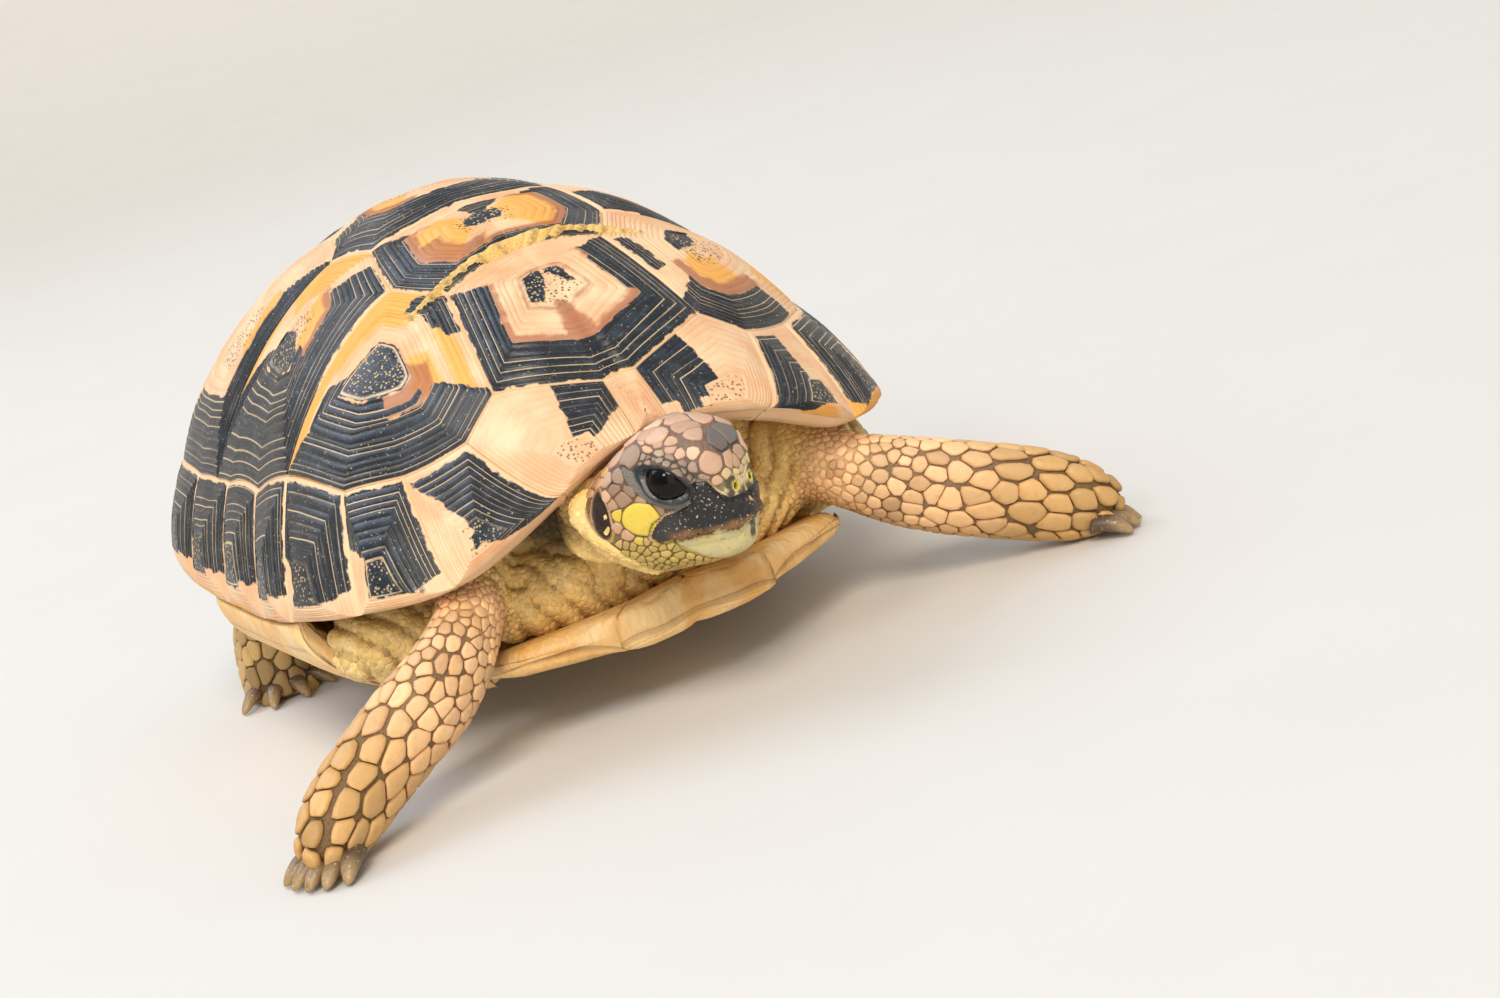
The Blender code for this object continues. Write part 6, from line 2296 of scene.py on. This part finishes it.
    def build(self) -> None:
        """Make both skins, their scales and the claws."""
        skin, coat = Skin().make(), Coat(self.model, Scales().make())
        head = self.head.build(coat)
        for word, front, seed in (("front", True, 81), ("rear", False, 82)):
            points, faces = self.skin(front)
            self.dress(word, points, faces, coat, seed)
            normal = normals_of(points, faces)
            colour = self.paint(points, normal)
            scaled = ease(1.5, 2.4, self.fields(points, normal)[0])[:, None]
            colour = colour * (1 - 0.72 * scaled)
            wet = np.zeros(len(points))
            limb = ("foreleg", "forefoot") if front else ("hindleg", "hindfoot")
            nodes = [f"{part}_{side}" for part in limb for side in ("left", "right")]
            nodes += ["neck", "head", "trunk"] if front else ["tail"]
            if front:
                faces = np.concatenate([faces, head[1] + len(points)])
                points, colour = np.concatenate([points, head[0]]), np.concatenate([colour, head[2]])
                wet = np.concatenate([wet, head[3]])
            layers = {"paint": colour, "wet": wet}
            settle(self.model.piece(f"skin_{word}", points, said_once(faces), skin, layers),
                   "scaled_skin", *nodes)
        self.claws()

    def claw(self, root: Array, tip: Array, width: float) -> tuple[Array, Array]:
        """Points and shares from root to tip of one curved claw.

        Args:
            root: middle of its root.
            tip: its tip.
            width: breadth at the root.
        Returns:
            Points in rings, and each one's share of the way.
        """
        f = np.linspace(0, 1, self.claw_rings)
        axis = unit(tip - root)
        tall = unit(np.array([0, 0, 1.0]) - axis * axis[2])
        side = np.cross(axis, tall)
        size = np.interp(f, (0, 0.5, 0.8, 0.95, 1.0), (1.0, 0.88, 0.62, 0.36, 0.16)) * width / 2
        middle = root + (tip - root) * f[:, None]
        middle[:, 2] += 0.9 * np.sin(f * math.pi)
        turn = np.linspace(0, 2 * math.pi, self.claw_columns, endpoint=False)
        ring = (middle[:, None] + (size * 0.82)[:, None, None] * np.cos(turn)[:, None] * tall
                + size[:, None, None] * np.sin(turn)[:, None] * side)
        points = np.concatenate([ring.reshape(-1, 3), root[None], tip[None]])
        points[:, 2] = np.maximum(points[:, 2], SOLE + 0.02)
        return points, np.r_[np.repeat(f, self.claw_columns), 0, 1]

    def claws(self) -> None:
        """Five claws on each forefoot, four on each hind foot, and the tail's spur."""
        horn = BeakHorn().make()
        for side, word in ((1, "left"), (-1, "right")):
            path = self.foreleg_left if side > 0 else self.foreleg_right
            end, before = [np.array([side * row[0], row[1], 0.0]) for row in (path[-1], path[-2])]
            ahead = unit(end - before)
            across = np.array([-ahead[1], ahead[0], 0])
            fore = []
            for k in range(5):
                swing = (k - 2) / 2
                root = end + ahead * (-1.5 - 1.2 * abs(swing)) + across * swing * 4.6
                tip = end + ahead * (6.8 - 2.4 * swing**2) + across * swing * 7.6
                fore.append(self.claw(root + [0, 0, -9.6], tip + [0, 0, SOLE + 0.9], 4.5))
            hind = []
            middle = np.array([side * self.hindleg[-1][0], self.hindleg[-1][1], 0.0])
            for k in range(4):
                turn = math.radians(62 - 33 * k) * side
                out = np.array([math.sin(turn), -math.cos(turn), 0])
                hind.append(self.claw(middle + out * 5.5 + [0, 0, -9.4],
                                      middle + out * 14.0 + [0, 0, SOLE + 0.7], 4.1))
            for name, many in ((f"claws_forefoot_{word}", fore), (f"claws_hindfoot_{word}", hind)):
                self.horny(name, many, horn)
        tip = np.array(self.tail[-1][:3], float)
        root = np.array(self.tail[3][:3], float)
        self.horny("tail_spur", [self.claw(root, tip + [0, 0, -0.2], 5.6)], horn)

    def horny(self, name: str, many: list[tuple[Array, Array]], horn: bpy.types.Material) -> None:
        """Join claws into one piece, darker at the root.

        Args:
            name: name of the piece.
            many: points and shares of each claw.
            horn: its finish.
        """
        one = tube_faces(self.claw_rings, self.claw_columns)
        count = len(many[0][0])
        faces = [[k + n * count for k in face] for n in range(len(many)) for face in one]
        points = np.concatenate([p for p, _ in many])
        share = np.concatenate([f for _, f in many])
        colour = brush(np.tile(tint("#5A4630"), (len(points), 1)), ease(0.3, 1.0, share), "#A88A5C")
        quads = four_sided(faces)
        if (outward(points, quads) != quads).any():
            faces = [face[::-1] for face in faces]
        settle(self.model.piece(name, points, faces, horn, {"paint": colour}), "beak_horn")


# ---- the studio -------------------------------------------------------------
@dataclass
class Studio:
    """A plain pale sweep, soft light and the camera."""

    model: Model
    floor_colour: str = "#D9D5CE"
    floor_shade: str = "#DEDAD3"
    camera_place: tuple = (-172.3, -515.6, 137.4)
    heading: float = 22.99       # degrees from +Y towards +X
    fall: float = 13.82          # degrees below the horizon
    roll: float = 17.57
    lens: float = 64.06

    def sweep(self) -> None:
        """A round floor that turns up into a wall all round."""
        turns, points = 96, []
        profile = [(0.0, 0.0), (0.3, 0.0), (0.8, 0.0), (1.6, 0.0), (2.2, 0.02), (2.8, 0.16), (3.3, 0.5),
                   (3.6, 1.0), (3.7, 2.0)]
        for radius, height in profile[1:]:
            for k in range(turns):
                angle = 2 * math.pi * k / turns
                points.append((radius * math.cos(angle), radius * math.sin(angle), height))
        points.append((0, 0, 0))
        mesh = bpy.data.meshes.new("studio_floor")
        faces = strip_faces(len(profile) - 1, turns).tolist() + cap_faces(0, turns, len(points) - 1, True)
        mesh.from_pydata(points, [], faces)
        mesh.shade_smooth()
        material, t, noise_of = begin("painted_floor")
        broad = add(t, "TexNoise", {**noise_of, "Scale": 1 / (60.0 * MM)})
        fine = add(t, "TexNoise", {**noise_of, "Scale": 1 / (1.5 * MM)})
        colours = {0: broad, 6: linear(self.floor_colour), 7: linear(self.floor_shade)}
        colour = add(t, "Mix", colours, out=2, data_type="RGBA")
        mesh.materials.append(finished(material, colour, 0.7, ((fine, 0.02),)))
        floor = bpy.data.objects.new("studio_floor", mesh)
        bpy.context.scene.collection.objects.link(floor)

    def lamp(self, name: str, place: tuple, size: float, power: float, colour: str) -> None:
        """One square soft light aimed at the shell, in metres and watts.

        Args:
            name: its name.
            place: where it stands.
            size: width of its square.
            power: watts.
            colour: its colour, as a hex code.
        """
        light = bpy.data.lights.new(name, "AREA")
        light.size, light.energy, light.color = size, power, linear(colour)[:3]
        lamp = bpy.data.objects.new(name, light)
        lamp.location = place
        lamp.rotation_mode = "QUATERNION"
        lamp.rotation_quaternion = (Vector((0, 0, 0.04)) - Vector(place)).to_track_quat("-Z", "Y")
        bpy.context.scene.collection.objects.link(lamp)

    def build(self) -> None:
        """Floor, lights, sky and camera."""
        self.sweep()
        key = bpy.data.lights.new("key", "SUN")
        key.energy, key.angle, key.color = 1.8, math.radians(24), linear("#FFF3E2")[:3]
        sun = bpy.data.objects.new("key", key)
        sun.rotation_mode = "QUATERNION"
        sun.rotation_quaternion = Vector((0.30, 0.80, -0.95)).to_track_quat("-Z", "Y")
        bpy.context.scene.collection.objects.link(sun)
        self.lamp("top", (-0.6, 0.7, 1.2), 0.9, 9.0, "#DCE9FF")
        self.lamp("catch", (-0.62, -0.55, 0.62), 0.16, 1.6, "#F2F7FF")
        self.lamp("fill", (-0.35, -1.0, 0.30), 0.7, 1.8, "#FFF2E0")
        world = bpy.data.worlds.new("studio_air")
        world.use_nodes = True
        sky = world.node_tree.nodes["Background"]
        sky.inputs["Color"].default_value = linear("#E4ECF6")
        sky.inputs["Strength"].default_value = 0.7
        bpy.context.scene.world = world
        camera = bpy.data.cameras.new("camera")
        camera.lens, camera.sensor_width = self.lens, 36.0
        camera.clip_start, camera.clip_end = 0.01, 20.0
        turn, dip, roll = map(math.radians, (self.heading, self.fall, self.roll))
        ahead = Vector((math.sin(turn) * math.cos(dip), math.cos(turn) * math.cos(dip), -math.sin(dip)))
        level = Vector((math.cos(turn), -math.sin(turn), 0))
        right = level * math.cos(roll) + ahead.cross(level) * math.sin(roll)
        rows = Matrix((right, right.cross(ahead), -ahead)).transposed()
        eye = bpy.data.objects.new("camera", camera)
        eye.matrix_world = rows.to_4x4()
        eye.location = self.model.to_metres(np.array(self.camera_place))
        bpy.context.scene.collection.objects.link(eye)
        bpy.context.scene.camera = eye
        bpy.context.scene.view_settings.view_transform = "Standard"


def find_model(head: HeadFrame) -> Model:
    """Place the shell's frame by the middle of the two eyes of the solid model.

    Args:
        head: the head's own frame.
    Returns:
        The model, with the shell's frame placed in it.
    """
    corners = [np.array(corner) for word in ("left", "right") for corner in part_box(f"eye_{word}")]
    middle = sum(corners) / len(corners)
    behind, _, up = head.eye_place
    return Model(middle - head.out(np.array([[behind, 0, up]]))[0] * MM)


def main() -> None:
    """Build the tortoise piece by piece, then its studio."""
    logging.basicConfig(level=logging.INFO, format="%(message)s")
    head = HeadFrame()
    model = find_model(head)
    LOG.info("shell frame at %s", model.shift)
    Shell(model).build()
    Flesh(model, Head(model, head)).build()
    Studio(model).build()


if __name__ == "__main__":
    main()
